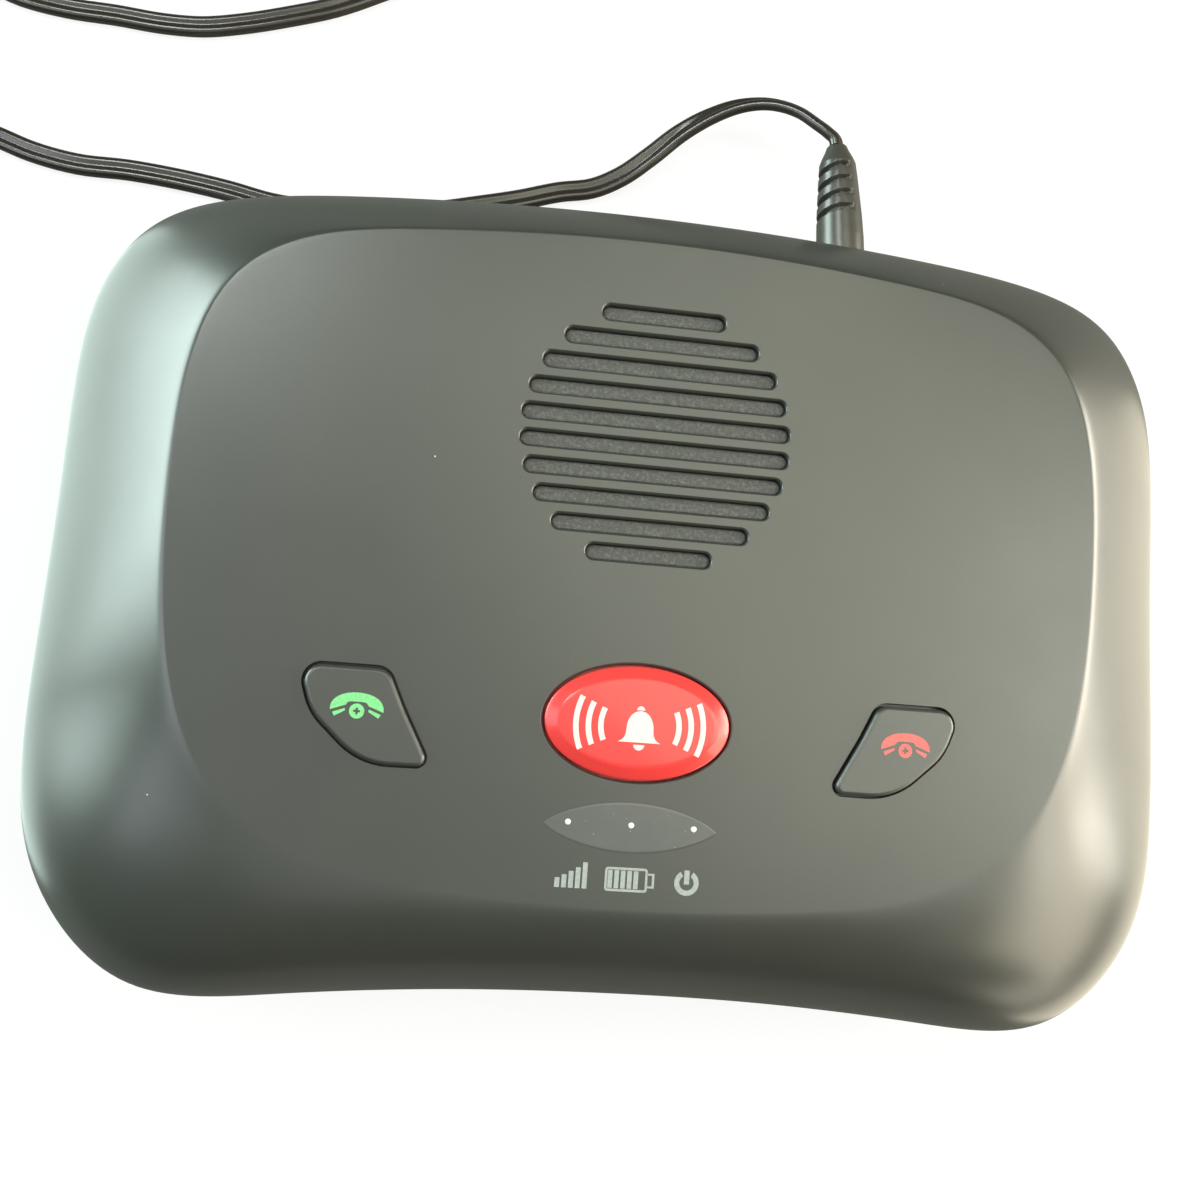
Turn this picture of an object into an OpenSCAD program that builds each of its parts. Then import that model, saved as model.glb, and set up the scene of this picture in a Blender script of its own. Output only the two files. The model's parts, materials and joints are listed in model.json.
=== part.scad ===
// Medical alert base station: desk unit with a help button, an answer and an end
// button, a loudspeaker behind a slotted grille, and a wall adapter on its lead.
// Millimetres. +X right, +Y back (power jack side), +Z up, origin under the middle
// of the unit on the surface that its feet stand on.

/* [Housing] */
// Overall width of the housing
body_w = 191; // [181:1:200]
// Overall depth of the housing
body_d = 135.4; // [129:0.2:142]
// Height of the flat top panel above the table
panel_z = 40; // [38:0.5:44]
// Height of the widest line of the housing
rim_z = 20.5; // [19.5:0.5:22]
// Wall thickness of both covers
wall = 2.2; // [1.8:0.1:2.6]
// Height of the rubber feet
foot_h = 2; // [1.5:0.1:2.5]
// Diameter of the rubber feet
foot_d = 12; // [9:0.5:13]

/* [Speaker grille] */
// Diameter of the circle that the slot ends lie on
grille_d = 43; // [40:0.5:44]
// Number of slots
grille_slots = 10; // [8:1:11]
// Distance from slot to slot
slot_pitch = 4.24; // [3.8:0.02:4.4]
// Width of one slot
slot_w = 2.5; // [1.8:0.1:2.6]
// Distance of the grille's centre behind the middle of the unit
grille_y = 25.2; // [24:0.1:26]

/* [Buttons] */
// Length of the oval help button
help_w = 28.6; // [26:0.2:30]
// Depth of the oval help button
help_d = 17.3; // [16:0.1:18]
// Distance of the help button's centre in front of the middle
help_y = 19.9; // [19.5:0.1:20.5]
// Travel of the help button
help_travel = 0.9; // [0.5:0.1:1]
// Travel of the answer and end buttons
call_travel = 0.7; // [0.4:0.1:0.8]
// Gap around each button
button_gap = 0.35; // [0.25:0.05:0.5]

/* [Indicator window] */
// Length of the pointed oval window
lens_w = 26.6; // [25:0.2:28]
// Depth of the window at its middle
lens_d = 7.5; // [6.5:0.1:8]
// Distance of the window's centre in front of the middle
lens_y = 35.8; // [35.5:0.1:36.2]
// Distance between neighbouring lights
light_pitch = 9.7; // [9:0.1:10]

/* [Power lead] */
// Width of the flat twin lead
lead_w = 3.9; // [3.7:0.1:4]
// Thickness of the flat twin lead
lead_t = 2; // [1.8:0.1:2.1]
// Mean radius of the stowed coil
coil_r = 22; // [21.5:0.5:23]
// Diameter of the plug's moulded grip
grip_d = 9; // [8:0.2:9.4]

/* [Hidden] */
$fn = 48;

// Half outlines, drawn for a housing of 191 by 135.4 and scaled to the driving sizes.
// They are control points of a smooth closed curve, from the back round to the front.
drawn_w = 191;
drawn_d = 135.4;
rim_half = [[0, 68], [26, 67.4], [50, 65.8], [71, 63.5], [86, 58], [94, 42.5], [94.2, 18.5],
    [95, -8], [96.3, -34], [92.5, -52], [76.5, -69.5], [53, -66.5], [26, -64.4], [0, -64]];
crease_half = [[0, 56.4], [20, 55.8], [38.5, 54.2], [56, 52], [68, 44], [72.3, 29.5], [73, 12],
    [72.4, -5.5], [69.5, -22.5], [61.5, -36.5], [46, -44.8], [32, -46.6], [16, -47.8], [0, -48.2]];
outline_steps = 3;
slope_rows = 6;
base_rows = 5;

// Slope between the panel's edge and the rim: how much of it is a straight chamfer
chamfer_side = 0.8;
chamfer_back = 0.6;
chamfer_front = 0.05;

seam_z = 18;
seam_gap = 0.2;
base_z = foot_h;
floor_z = base_z + wall;
base_inset = 9;
panel_under = panel_z - wall;

// Outline of the answer button on the +X side, mirrored for the other one: [x, y, radius]
leaf = [[51.5, -14.45, 2.6], [49.1, -21.6, 9.5], [41.3, -28.75, 11], [30.9, -28.65, 1.3],
    [35.6, -20, 22], [38.2, -14.45, 2.6]];

board_z = 29;
board_t = 1.6;
board_top = board_z + board_t;
board_back = 1;
board_front = -48;
board_half = 60;
board_posts = [[54, -3], [-54, -3], [54, -44], [-54, -44]];
case_posts = [[60, -51], [-60, -51], [79, 4], [-79, 4], [62, 50], [-62, 50]];
speaker_posts = [for (a = [90, 210, 330]) [24.3 * cos(a), grille_y + 24.3 * sin(a)]];
foot_x = 75;
foot_front = -44;
foot_back = 42;
screw_r = 1.45;
pilot_r = 1.5;
head_r = 2.9;
counter_r = 3.2;
counter_z = 8;

battery_y = -27;
battery_z = 14;
cell_r = 9.2;
battery_l = 66;
bay_w = 68;
bay_d = 39.4;
door_w = 76;
door_d = 46;
door_t = 1.4;
door_screw_y = battery_y + door_d / 2 + 0.6;

jack_x = 37.2;
jack_z = 12.8;
jack_face = 60.9;
jack_depth = 12.6;
jack_w = 9;
barrel_r = 2.75;
barrel_end = 53;
grip_start = 61.8;
grip_end = 90;
plug_turn = 5;
plug_pivot = 58.5;
power_board_z = 5.6;
power_posts = [[17, 46.5], [47, 46.5]];
switch_x = 15;
switch_z = 11.4;
slider_tip = 67.3;
slider_travel = 3;

switch_base = 6;
plunger_r = 1.7;
switch_h = 3.4;
switch_top = board_top + switch_h;
stem_bottom = switch_top + 1.15;

// Lead, from the plug to the stowed coil: round numbers chosen along the lie of the lead
lead_z = 1.1;
coil_z = 1.6;
route = [[34.46, 89.9, 12.8], [34.35, 91.2, 12.8], [33.2, 93.1, 12.6], [30.9, 94.6, 12.1],
    [27.5, 96.4, 11.2], [22, 98.2, 9.6], [16.6, 98, 7.8], [11.3, 96.1, 6], [6, 92.8, 4.4], [0.8, 88.2, 3],
    [-4.6, 83.9, 1.9], [-9.6, 81.3, 1.3], [-16, 79.8, 1.1], [-23.5, 77.3, 1.1], [-31, 75.2, 1.1],
    [-40, 72.9, 1.1], [-50, 71.4, 1.1], [-60, 70.7, 1.1], [-69, 71, 1.1], [-77, 72.4, 1.1],
    [-86, 73.5, 1.1], [-95, 74.1, 1.1], [-104, 74.1, 1.1], [-112, 75.4, 1.1], [-119, 77.6, 1.1],
    [-127, 79.6, 1.1], [-135.5, 82.8, 1.1], [-142, 88.5, 1.1], [-144, 96, 1.1],
    [-141, 103.2, 1.1], [-134, 107.3, 1.1], [-125.5, 107.4, 1.1], [-117, 104.6, 1.1],
    [-109, 103.5, 1.1], [-100, 103.3, 1.1], [-91.5, 102.9, 1.1], [-84.5, 103.3, 1.1],
    [-77.5, 104.9, 1.1], [-69, 107.6, 1.1], [-61, 110.6, 1.1], [-53, 114.8, 1.1],
    [-45.2, 119.5, 1.1], [-37.8, 124.6, 1.2], [-30.8, 130.2, 1.3], [-24.2, 136.2, 1.4],
    [-17.8, 142.6, 1.5], [-11.6, 149.4, 1.6], [-6, 156.6, 1.6]];

// Stowed coil: the lead winds inwards and outwards in four layers of two turns
coil_c = [-18, 187];
coil_layers = 4;
layer_turns = 2;
turn_pitch = 4.9;
layer_pitch = 2.8;
climb = 35;
coil_start = -35;
coil_end = -90;
ring_steps = 24;
coil_out = coil_r + turn_pitch * layer_turns / 2;
tail_l = 24;
adapter_z = 13;
relief_x = coil_c[0] + tail_l;
relief_l = 14;
adapter_l = 60;
adapter_w = 36;
adapter_h = 26;

// ---- outlines and lofts ----

function wrap(i, n) = (i % n + n) % n;

// Point of a uniform cubic B-spline over closed control points c, t from 0 to 1 in span k
function spline_point(c, k, t) = let (n = len(c))
    (c[wrap(k - 1, n)] * pow(1 - t, 3)
    + c[wrap(k, n)] * (3 * t * t * t - 6 * t * t + 4)
    + c[wrap(k + 1, n)] * (-3 * t * t * t + 3 * t * t + 3 * t + 1)
    + c[wrap(k + 2, n)] * t * t * t) / 6;

function closed_spline(c, steps) =
    [for (k = [0 : len(c) - 1]) for (s = [0 : steps - 1]) spline_point(c, k, s / steps)];

function both_sides(half) = concat(half, [for (i = [len(half) - 2 : -1 : 1]) [-half[i][0], half[i][1]]]);

function sized(pts) = [for (p = pts) [p[0] * body_w / drawn_w, p[1] * body_d / drawn_d]];

rim = sized(closed_spline(both_sides(rim_half), outline_steps));
crease = sized(closed_spline(both_sides(crease_half), outline_steps));

// Outline drawn in towards the middle by d
function drawn_in(pts, d) = [for (p = pts) p * (1 - d / norm(p))];

function at_height(pts, z) = [for (p = pts) [p[0], p[1], z]];

function smooth(t) = let (u = max(0, min(1, t))) u * u * (3 - 2 * u);

// Share of straight chamfer in the slope beside a point of the panel's edge
function chamfer(y) = chamfer_front
    + (chamfer_side - chamfer_front) * smooth((y + 46) / 30)
    - (chamfer_side - chamfer_back) * smooth((y - 34) / 20);

// Ring v of the slope, from 0 at the panel's edge to 1 at the rim: the plan moves out as the
// sine and the height falls by the chamfer's straight share and the rest of a quarter circle
function slope_ring(v, inset, sink) = let (g = sin(90 * v), c = 1 - cos(90 * v))
    [for (i = [0 : len(rim) - 1])
        let (p = crease[i] + (rim[i] - crease[i]) * g,
            k = chamfer(crease[i][1]),
            q = p * (1 - inset / norm(p)))
        [q[0], q[1], panel_z - sink - (panel_z - rim_z) * (k * g + (1 - k) * c)]];

function outer_top() = concat(
    [for (r = [0 : slope_rows]) slope_ring(r / slope_rows, 0, 0)],
    [at_height(rim, seam_z + seam_gap)]);

function inner_top() = concat(
    [for (r = [0 : slope_rows]) let (v = r / slope_rows)
        slope_ring(v, wall * (0.4 + 0.6 * v), wall * (1 - v))],
    [at_height(drawn_in(rim, wall), seam_z - 1)]);

// Ring w of the bottom cover, from 0 at the seam to 1 at the base: a quarter ellipse
function base_ring(w, inset, low, high) =
    at_height(drawn_in(rim, 0.3 + inset + base_inset * (1 - cos(90 * w))),
        high - (high - low) * sin(90 * w));

function outer_base() = [for (r = [0 : base_rows]) base_ring(r / base_rows, 0, base_z, seam_z)];

function inner_base() = concat([at_height(drawn_in(rim, 0.3 + wall), seam_z + 4)],
    [for (r = [0 : base_rows]) base_ring(r / base_rows, wall, floor_z, seam_z)]);

// Solid through rings of equal length, listed from the top down
module loft(rings) {
    n = len(rings[0]);
    m = len(rings);
    sides = [for (r = [0 : m - 2]) for (j = [0 : n - 1])
        let (a = r * n + j, b = r * n + (j + 1) % n, c = b + n, d = a + n)
        each [[a, d, c], [a, c, b]]];
    polyhedron([for (r = rings) each r],
        concat([[for (j = [0 : n - 1]) j]], sides, [[for (j = [n - 1 : -1 : 0]) (m - 1) * n + j]]));
}

// Polygon whose corners [x, y, radius] are rounded by arcs
function corner(p, q, r) = let (
        a = [p[0] - q[0], p[1] - q[1]], b = [r[0] - q[0], r[1] - q[1]],
        ua = a / norm(a), ub = b / norm(b),
        half = acos(max(-1, min(1, ua * ub))) / 2,
        cut = q[2] / tan(half),
        mid = (ua + ub) / norm(ua + ub),
        centre = [q[0], q[1]] + mid * q[2] / sin(half),
        s = [q[0], q[1]] + ua * cut - centre, e = [q[0], q[1]] + ub * cut - centre,
        sa = atan2(s[1], s[0]), turn = atan2(s[0] * e[1] - s[1] * e[0], s * e),
        steps = max(2, ceil(abs(turn) / 12)))
    [for (i = [0 : steps]) centre + q[2] * [cos(sa + turn * i / steps), sin(sa + turn * i / steps)]];

function rounded(pts) = let (n = len(pts))
    [for (i = [0 : n - 1]) each corner(pts[wrap(i - 1, n)], pts[i], pts[(i + 1) % n])];

function box_corners(w, d, r) = [
    [w / 2, d / 2, r], [w / 2, -d / 2, r], [-w / 2, -d / 2, r], [-w / 2, d / 2, r]];

module slab(w, d, h, r) {
    linear_extrude(h) polygon(rounded(box_corners(w, d, r)));
}

// Ellipse as a polygon
function ellipse(w, d) = [for (a = [0 : 7.5 : 359]) [w / 2 * cos(a), -d / 2 * sin(a)]];

// Ribbon of leads along points in a plane, t thick
function ribbon(p, t) = let (n = len(p),
        dir = [for (i = [0 : n - 1]) let (d = p[min(i + 1, n - 1)] - p[max(i - 1, 0)]) d / norm(d)],
        side = [for (d = dir) [-d[1], d[0]] * t / 2])
    concat([for (i = [0 : n - 1]) p[i] + side[i]], [for (i = [n - 1 : -1 : 0]) p[i] - side[i]]);

// ---- housing ----

module grille_slots_cut() {
    for (i = [0 : grille_slots - 1]) {
        dy = (i - (grille_slots - 1) / 2) * slot_pitch;
        half = sqrt(pow(grille_d / 2, 2) - dy * dy) - slot_w / 2;
        translate([0, grille_y + dy, panel_under - 1]) {
            translate([-half, -slot_w / 2, 0]) cube([2 * half, slot_w, wall + 2]);
            translate([half, 0, 0]) cylinder(d = slot_w, h = wall + 2, $fn = 24);
            translate([-half, 0, 0]) cylinder(d = slot_w, h = wall + 2, $fn = 24);
        }
    }
}

function leaf_outline(grow) = let (q = rounded(leaf), n = len(q))
    [for (i = [0 : n - 1]) let (d = q[(i + 1) % n] - q[wrap(i - 1, n)])
        q[i] + [-d[1], d[0]] / norm(d) * grow];

module leaf_slab(grow, h) {
    linear_extrude(h) polygon(leaf_outline(grow));
}

// Pointed oval: an ellipse whose depth falls faster towards its tips
function lens_outline(grow) = [for (a = [360 : -6 : 6])
    [(lens_w / 2 + grow) * cos(a), (lens_d / 2 + grow) * sign(sin(a)) * pow(abs(sin(a)), 1.6)]];

module lens_slab(grow, h) {
    linear_extrude(h) polygon(lens_outline(grow));
}

module top_cover() {
    color("#646963") difference() {
        loft(outer_top());
        difference() {
            loft(inner_top());
            for (p = board_posts) translate([p[0], p[1], board_top + 0.05]) cylinder(r = 3, h = 12);
            for (p = case_posts) translate([p[0], p[1], seam_z + seam_gap]) cylinder(r = 3.6, h = 24);
            for (p = speaker_posts) translate([p[0], p[1], 35.1]) cylinder(r = 2.4, h = 5);
        }
        for (p = board_posts) translate([p[0], p[1], board_top - 1]) cylinder(r = 1.1, h = 6);
        for (p = case_posts) translate([p[0], p[1], seam_z - 1]) cylinder(r = pilot_r, h = 9);
        for (p = speaker_posts) translate([p[0], p[1], 34]) cylinder(r = 0.95, h = 3.6);
        grille_slots_cut();
        translate([0, -help_y, panel_under - 1]) linear_extrude(wall + 2)
            polygon(ellipse(help_w + 2 * button_gap, help_d + 2 * button_gap));
        for (s = [0, 1]) mirror([s, 0, 0])
            translate([0, 0, panel_under - 1]) leaf_slab(button_gap, wall + 2);
        translate([0, -lens_y, panel_z - 1.2]) lens_slab(0.05, 2);
        for (i = [-1 : 1])
            translate([i * light_pitch, -lens_y, panel_under - 1]) cylinder(r = 1.15, h = 3, $fn = 24);
    }
}

module bottom_cover() {
    color("#5c605b") difference() {
        union() {
            difference() {
                loft(outer_base());
                difference() {
                    loft(inner_base());
                    for (p = case_posts) translate([p[0], p[1], 3]) cylinder(r = 4.4, h = seam_z - 3);
                    translate([0, battery_y, 3]) difference() {
                        slab(bay_w + 3.2, bay_d + 3.2, 12, 3);
                        translate([0, 0, -1]) slab(bay_w, bay_d, 14, 1.6);
                    }
                    for (p = power_posts)
                        translate([p[0], p[1], 3]) cylinder(r = 2.8, h = power_board_z - 3.1);
                    translate([0, door_screw_y, 3]) cylinder(r = 3, h = 6.5);
                    translate([-7, -58.6, 3]) cube([14, 3.4, 10.5]);
                    for (y = [-22, 20]) translate([-71.5, y, 3]) cube([5, 3, 10]);
                }
            }
            // Tongue that stands up inside the top cover
            translate([0, 0, seam_z - 3.5]) linear_extrude(3.5) difference() {
                polygon(drawn_in(rim, 1.6));
                polygon(drawn_in(rim, 3.9));
            }
            translate([0, 0, seam_z - 0.1]) linear_extrude(2.1) difference() {
                polygon(drawn_in(rim, 2.7));
                polygon(drawn_in(rim, 3.9));
            }
        }
        for (p = case_posts) {
            translate([p[0], p[1], base_z - 1]) cylinder(r = counter_r, h = counter_z - base_z + 1);
            translate([p[0], p[1], base_z]) cylinder(r = 1.7, h = 22);
        }
        for (p = foot_places()) translate([p[0], p[1], base_z - 1]) cylinder(d = foot_d + 0.6, h = 1.6);
        translate([0, battery_y, base_z - 1]) slab(door_w + 0.5, door_d + 0.5, 1 + door_t + 0.1, 4);
        translate([0, door_screw_y, base_z - 1]) cylinder(r = 4.65, h = 1 + door_t + 0.1);
        translate([0, battery_y, base_z - 1]) slab(bay_w, bay_d, 6, 1.6);
        translate([0, door_screw_y, base_z - 1]) cylinder(r = 1.1, h = 7);
        for (p = power_posts) translate([p[0], p[1], 3.2]) cylinder(r = 1.1, h = 6);
        translate([jack_x, 56, jack_z]) rotate([-90, 0, 0]) cylinder(r = grip_d / 2 + 1.1, h = 20);
        translate([switch_x - 3.6, 59, switch_z - 1.6]) cube([7.2, 12, 3.2]);
        translate([0, -58.9, 10]) rotate([90, 0, 0]) cylinder(r = 0.75, h = 12);
        translate([0, -53, 10]) rotate([90, 0, 0]) cylinder(r = 4.3, h = 6.4);
        translate([-69.6, -23, floor_z]) cube([1.2, 48, 20]);
    }
}

module battery_door() {
    color("#5c605b") difference() {
        union() {
            translate([0, battery_y, base_z]) slab(door_w, door_d, door_t, 3.8);
            translate([0, door_screw_y, base_z]) cylinder(r = 4.4, h = door_t);
            translate([0, battery_y, base_z + door_t]) difference() {
                slab(bay_w - 0.6, bay_d - 0.6, 1.3, 1.4);
                translate([0, 0, -1]) slab(bay_w - 4.6, bay_d - 4.6, 4, 1);
            }
        }
        translate([0, door_screw_y, base_z - 1]) cylinder(r = 1.4, h = 6);
        translate([0, door_screw_y, base_z - 1]) cylinder(r = 2.6, h = 1.7);
        for (i = [-2 : 2]) translate([-8, battery_y - 14 + i * 2, base_z - 1]) cube([16, 0.9, 1.5]);
    }
}

module door_screw() {
    color("silver") translate([0, door_screw_y, base_z + 0.05]) difference() {
        union() {
            cylinder(r = 2.3, h = 0.6);
            cylinder(r = 1, h = 3.4);
        }
        for (a = [0, 90]) rotate([0, 0, a]) translate([-1.4, -0.25, -1]) cube([2.8, 0.5, 1.3]);
    }
}

module case_screws() {
    color("silver") for (p = case_posts) translate([p[0], p[1], counter_z - 2.2]) difference() {
        union() {
            cylinder(r = head_r, h = 2.15);
            cylinder(r = screw_r, h = 20);
        }
        for (a = [0, 90]) rotate([0, 0, a]) translate([-1.8, -0.35, -1]) cube([3.6, 0.7, 2.2]);
    }
}

function foot_places() = [for (x = [-foot_x, foot_x]) for (y = [foot_front, foot_back]) [x, y]];

module foot(x, y) {
    top = base_z + 0.55;
    color("#2b2b2b") translate([x, y, 0]) rotate_extrude()
        polygon([[0, 0], [foot_d / 2 - 0.7, 0], [foot_d / 2, 0.7], [foot_d / 2, top], [0, top]]);
}

// ---- controls ----

// Crown of a key: rings of its outline, drawn in as the surface rises
module crown(outline, centre, low, high, edge) {
    rows = 5;
    rings = [for (r = [0 : rows]) let (a = 90 * r / rows, d = edge * (1 - cos(a)))
        [for (p = outline) let (v = p - centre, q = centre + v * (1 - d / norm(v)))
            [q[0], q[1], low + (high - low) * sin(a)]]];
    loft(concat([for (r = [rows : -1 : 0]) rings[r]], [[for (p = outline) [p[0], p[1], low - 0.6]]]));
}

module help_button() {
    color("#d8221c") {
        translate([0, -help_y, 0]) {
            crown(ellipse(help_w, help_d), [0, 0], panel_z + 0.2, panel_z + 1.6, 2.2);
            translate([0, 0, panel_under - 1.6]) linear_extrude(panel_z + 0.2 - 0.3 - panel_under + 1.6)
                polygon(ellipse(help_w, help_d));
            translate([0, 0, panel_under - 1.7]) linear_extrude(1.5)
                polygon(ellipse(help_w + 2.6, help_d + 2.6));
            translate([0, 0, stem_bottom]) cylinder(r = 2.2, h = panel_under - stem_bottom - 1);
        }
    }
}

module call_button() {
    crown(leaf_outline(0), [41.5, -21.5], panel_z + 0.1, panel_z + 0.7, 0.9);
    translate([0, 0, panel_under - 1.5]) leaf_slab(0, panel_z - panel_under + 1.4);
    translate([0, 0, panel_under - 1.5]) leaf_slab(1.1, 1.3);
    translate([41.5, -21.5, stem_bottom]) cylinder(r = 2, h = panel_under - stem_bottom - 1);
}

module answer_button() {
    color("#565b56") mirror([1, 0, 0]) call_button();
}

module end_button() {
    color("#565b56") call_button();
}

module tact_switch(x, y) {
    color("#30302e") translate([x, y, board_top + 0.02]) difference() {
        translate([-switch_base / 2, -switch_base / 2, 0]) cube([switch_base, switch_base, switch_h]);
        translate([0, 0, 1]) cylinder(r = plunger_r + 0.15, h = switch_h);
    }
}

module tact_plunger(x, y) {
    color("#d9d4c4") translate([x, y, switch_top - 1.2]) cylinder(r = plunger_r, h = 2.33);
}

module indicator_lens() {
    color("#8b908c") translate([0, -lens_y, panel_z - 1.15]) lens_slab(-0.05, 1.2);
}

module light_guide() {
    color("#dfe3e0") translate([0, -lens_y, 0]) {
        for (i = [-1 : 1])
            translate([i * light_pitch, 0, 32.4]) cylinder(r = 1, h = panel_z - 1.3 - 32.4, $fn = 24);
        translate([-light_pitch - 2, -1.5, panel_under - 1.45]) cube([2 * light_pitch + 4, 3, 1.4]);
    }
}

module led(x, tint) {
    color(tint) translate([x, -lens_y, board_top + 0.02]) union() {
        translate([-1.6, -0.8, 0]) cube([3.2, 1.6, 0.8]);
        translate([0, 0, 0.7]) cylinder(r = 0.7, h = 0.7, $fn = 24);
    }
}

// ---- speaker ----

module grille_cloth() {
    color("#6d6f6b") translate([0, grille_y, panel_under - 0.45]) cylinder(d = grille_d + 0.6, h = 0.4);
}

module speaker_gasket() {
    color("#3a3a38") translate([0, grille_y, 36.25]) difference() {
        cylinder(d = 42.6, h = 1.05);
        translate([0, 0, -1]) cylinder(d = 37, h = 4);
    }
}

module speaker_frame() {
    color("#4c4e50") translate([0, grille_y, 0]) difference() {
        rotate_extrude($fn = 72) polygon([[17.6, 36.2], [21.3, 36.2], [21.3, 35.1], [18.6, 35.1],
            [11.4, 29.2], [11.4, 27.9], [7.2, 27.9], [7.2, 28.9], [10.6, 28.9], [10.6, 29.6], [17.6, 35.4]]);
        for (a = [45 : 90 : 315]) rotate([0, 0, a]) translate([12.4, -4.5, 28.2]) cube([4.4, 9, 5.6]);
    }
}

module speaker_cone() {
    color("#232323") translate([0, grille_y, 0]) rotate_extrude($fn = 72)
        polygon([[0, 34.4], [2.8, 34.1], [5.4, 33], [6.2, 32], [15.2, 35.3], [16.1, 36.1], [17.2, 35.9],
            [17.2, 35.5], [16.3, 35.6], [15.5, 34.9], [6.5, 31.6], [6.5, 25], [6.1, 25], [6.1, 31.5],
            [5, 32.6], [2.6, 33.7], [0, 34]]);
}

module speaker_magnet() {
    color("#8f9396") translate([0, grille_y, 0]) difference() {
        cylinder(r = 12.5, h = 27.8);
        translate([0, 0, -1]) cylinder(r = 20, h = 21.8);
        translate([0, 0, 23]) difference() {
            cylinder(r = 7, h = 10);
            translate([0, 0, -1]) cylinder(r = 5.6, h = 12);
        }
    }
}

module speaker_screws() {
    color("silver") for (p = speaker_posts) translate([p[0], p[1], 34.3]) union() {
        cylinder(r = 3.7, h = 0.7);
        cylinder(r = 0.85, h = 3.1);
        translate([0, 0, -0.9]) cylinder(r = 1.7, h = 1);
    }
}

module speaker_leads() {
    color("#9a2b26") translate([-2, 0, 0]) rotate([90, 0, 90]) linear_extrude(3)
        polygon(ribbon([[12.6, 24.3], [9, 23.9], [3, 23.8], [-1, 23.9], [-2.7, 24.8], [-3, 26.5]], 1));
}

// ---- electronics ----

module main_board() {
    color("#1f6b3a") difference() {
        translate([0, (board_back + board_front) / 2, board_z])
            slab(2 * board_half, board_back - board_front, board_t, 3);
        for (p = board_posts) translate([p[0], p[1], board_z - 1]) cylinder(r = 1.4, h = 4);
    }
}

module board_screws() {
    color("silver") for (p = board_posts) translate([p[0], p[1], board_z - 1.75]) difference() {
        union() {
            cylinder(r = 2.4, h = 1.7);
            cylinder(r = 1.05, h = 7);
        }
        for (a = [0, 90]) rotate([0, 0, a]) translate([-1.5, -0.3, -1]) cube([3, 0.6, 1.8]);
    }
}

// Component hanging under the main board
module under_board(x, y, w, d, h) {
    translate([x - w / 2, y - d / 2, board_z - 0.02 - h]) cube([w, d, h]);
}

module connector(x, y) {
    color("ivory") difference() {
        under_board(x, y, 7, 4.4, 3.6);
        translate([x - 2.8, y - 1.5, board_z - 5]) cube([5.6, 3, 3]);
    }
}

module processor() {
    color("#222222") under_board(16, -26, 10, 10, 1.1);
}

module cellular_module() {
    color("#c9ccce") under_board(-36, -28, 29, 29, 2.4);
}

module sim_holder() {
    color("#b8bbbd") difference() {
        under_board(-12, -42, 15, 10, 1.5);
        translate([-18.5, -46, board_z - 1.2]) cube([13, 9.2, 0.8]);
    }
}

module radio_module() {
    color("#3d6fa8") under_board(38, -34, 16, 12, 1.8);
}

module radio_antenna() {
    color("goldenrod") translate([47, -34, board_z - 0.9]) union() {
        translate([-0.9, 0, 0]) rotate([0, 90, 0]) cylinder(r = 0.4, h = 1.9);
        translate([1, 0.4, 0]) rotate([90, 0, 0]) cylinder(r = 0.4, h = 0.8);
        translate([1, -0.4, 0]) rotate([-90, 0, 0]) cylinder(r = 0.4, h = 24);
    }
}

module cellular_antenna() {
    color("#2c5d34") translate([-69.5, -20, floor_z + 0.1]) cube([1, 42, 14]);
}

module battery_pack() {
    color("#2e62b0") translate([-battery_l / 2, battery_y, battery_z]) rotate([0, 90, 0])
        linear_extrude(battery_l) union() {
            translate([0, cell_r]) circle(r = cell_r, $fn = 72);
            translate([0, -cell_r]) circle(r = cell_r, $fn = 72);
            square([2 * cell_r, 2 * cell_r], center = true);
        }
}

module battery_leads() {
    color("#9a2b26") translate([0, -12.7, 0]) rotate([90, 0, 0]) linear_extrude(2.6)
        polygon(ribbon([[33.05, 19], [36, 19.3], [37.8, 20.4], [37.8, 22.4], [36, 23.7], [30, 24],
            [22.5, 24], [20.5, 24.8], [20, 26.6]], 1));
}

module power_board() {
    color("#1f6b3a") difference() {
        translate([30, 49.3, power_board_z]) slab(46, 17.4, board_t, 2);
        for (p = power_posts) translate([p[0], p[1], 3]) cylinder(r = 1.4, h = 8);
    }
}

module power_board_screws() {
    color("silver") for (p = power_posts) translate([p[0], p[1], 0]) union() {
        translate([0, 0, power_board_z + board_t + 0.02]) cylinder(r = 2.2, h = 1.4);
        translate([0, 0, 4.2]) cylinder(r = 1.05, h = 4);
    }
}

module power_jack() {
    color("#26262a") translate([jack_x, 0, 0]) union() {
        difference() {
            translate([-jack_w / 2, jack_face - jack_depth, power_board_z + board_t + 0.02])
                cube([jack_w, jack_depth, 10.4]);
            translate([0, jack_face - 10, jack_z]) rotate([-90, 0, 0]) cylinder(r = barrel_r + 0.65, h = 12);
        }
        translate([0, jack_face - 11, jack_z]) rotate([-90, 0, 0]) cylinder(r = 0.9, h = 9.6);
    }
}

module switch_housing() {
    color("#9ea2a4") translate([switch_x - 6, jack_face - 6.6, power_board_z + board_t + 0.02])
        difference() {
            cube([12, 6.4, 7]);
            translate([1.6, 2, switch_z - 1.5 - power_board_z - board_t]) cube([8.8, 8, 3]);
        }
}

module switch_slider() {
    color("#1d1d1f") translate([switch_x + 1.5, 0, switch_z]) union() {
        translate([-1.8, jack_face - 3.6, -1.3]) cube([3.6, slider_tip - jack_face + 3.6, 2.6]);
        translate([-2.8, jack_face - 4.2, -1.3]) cube([5.6, 2.4, 2.6]);
    }
}

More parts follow.
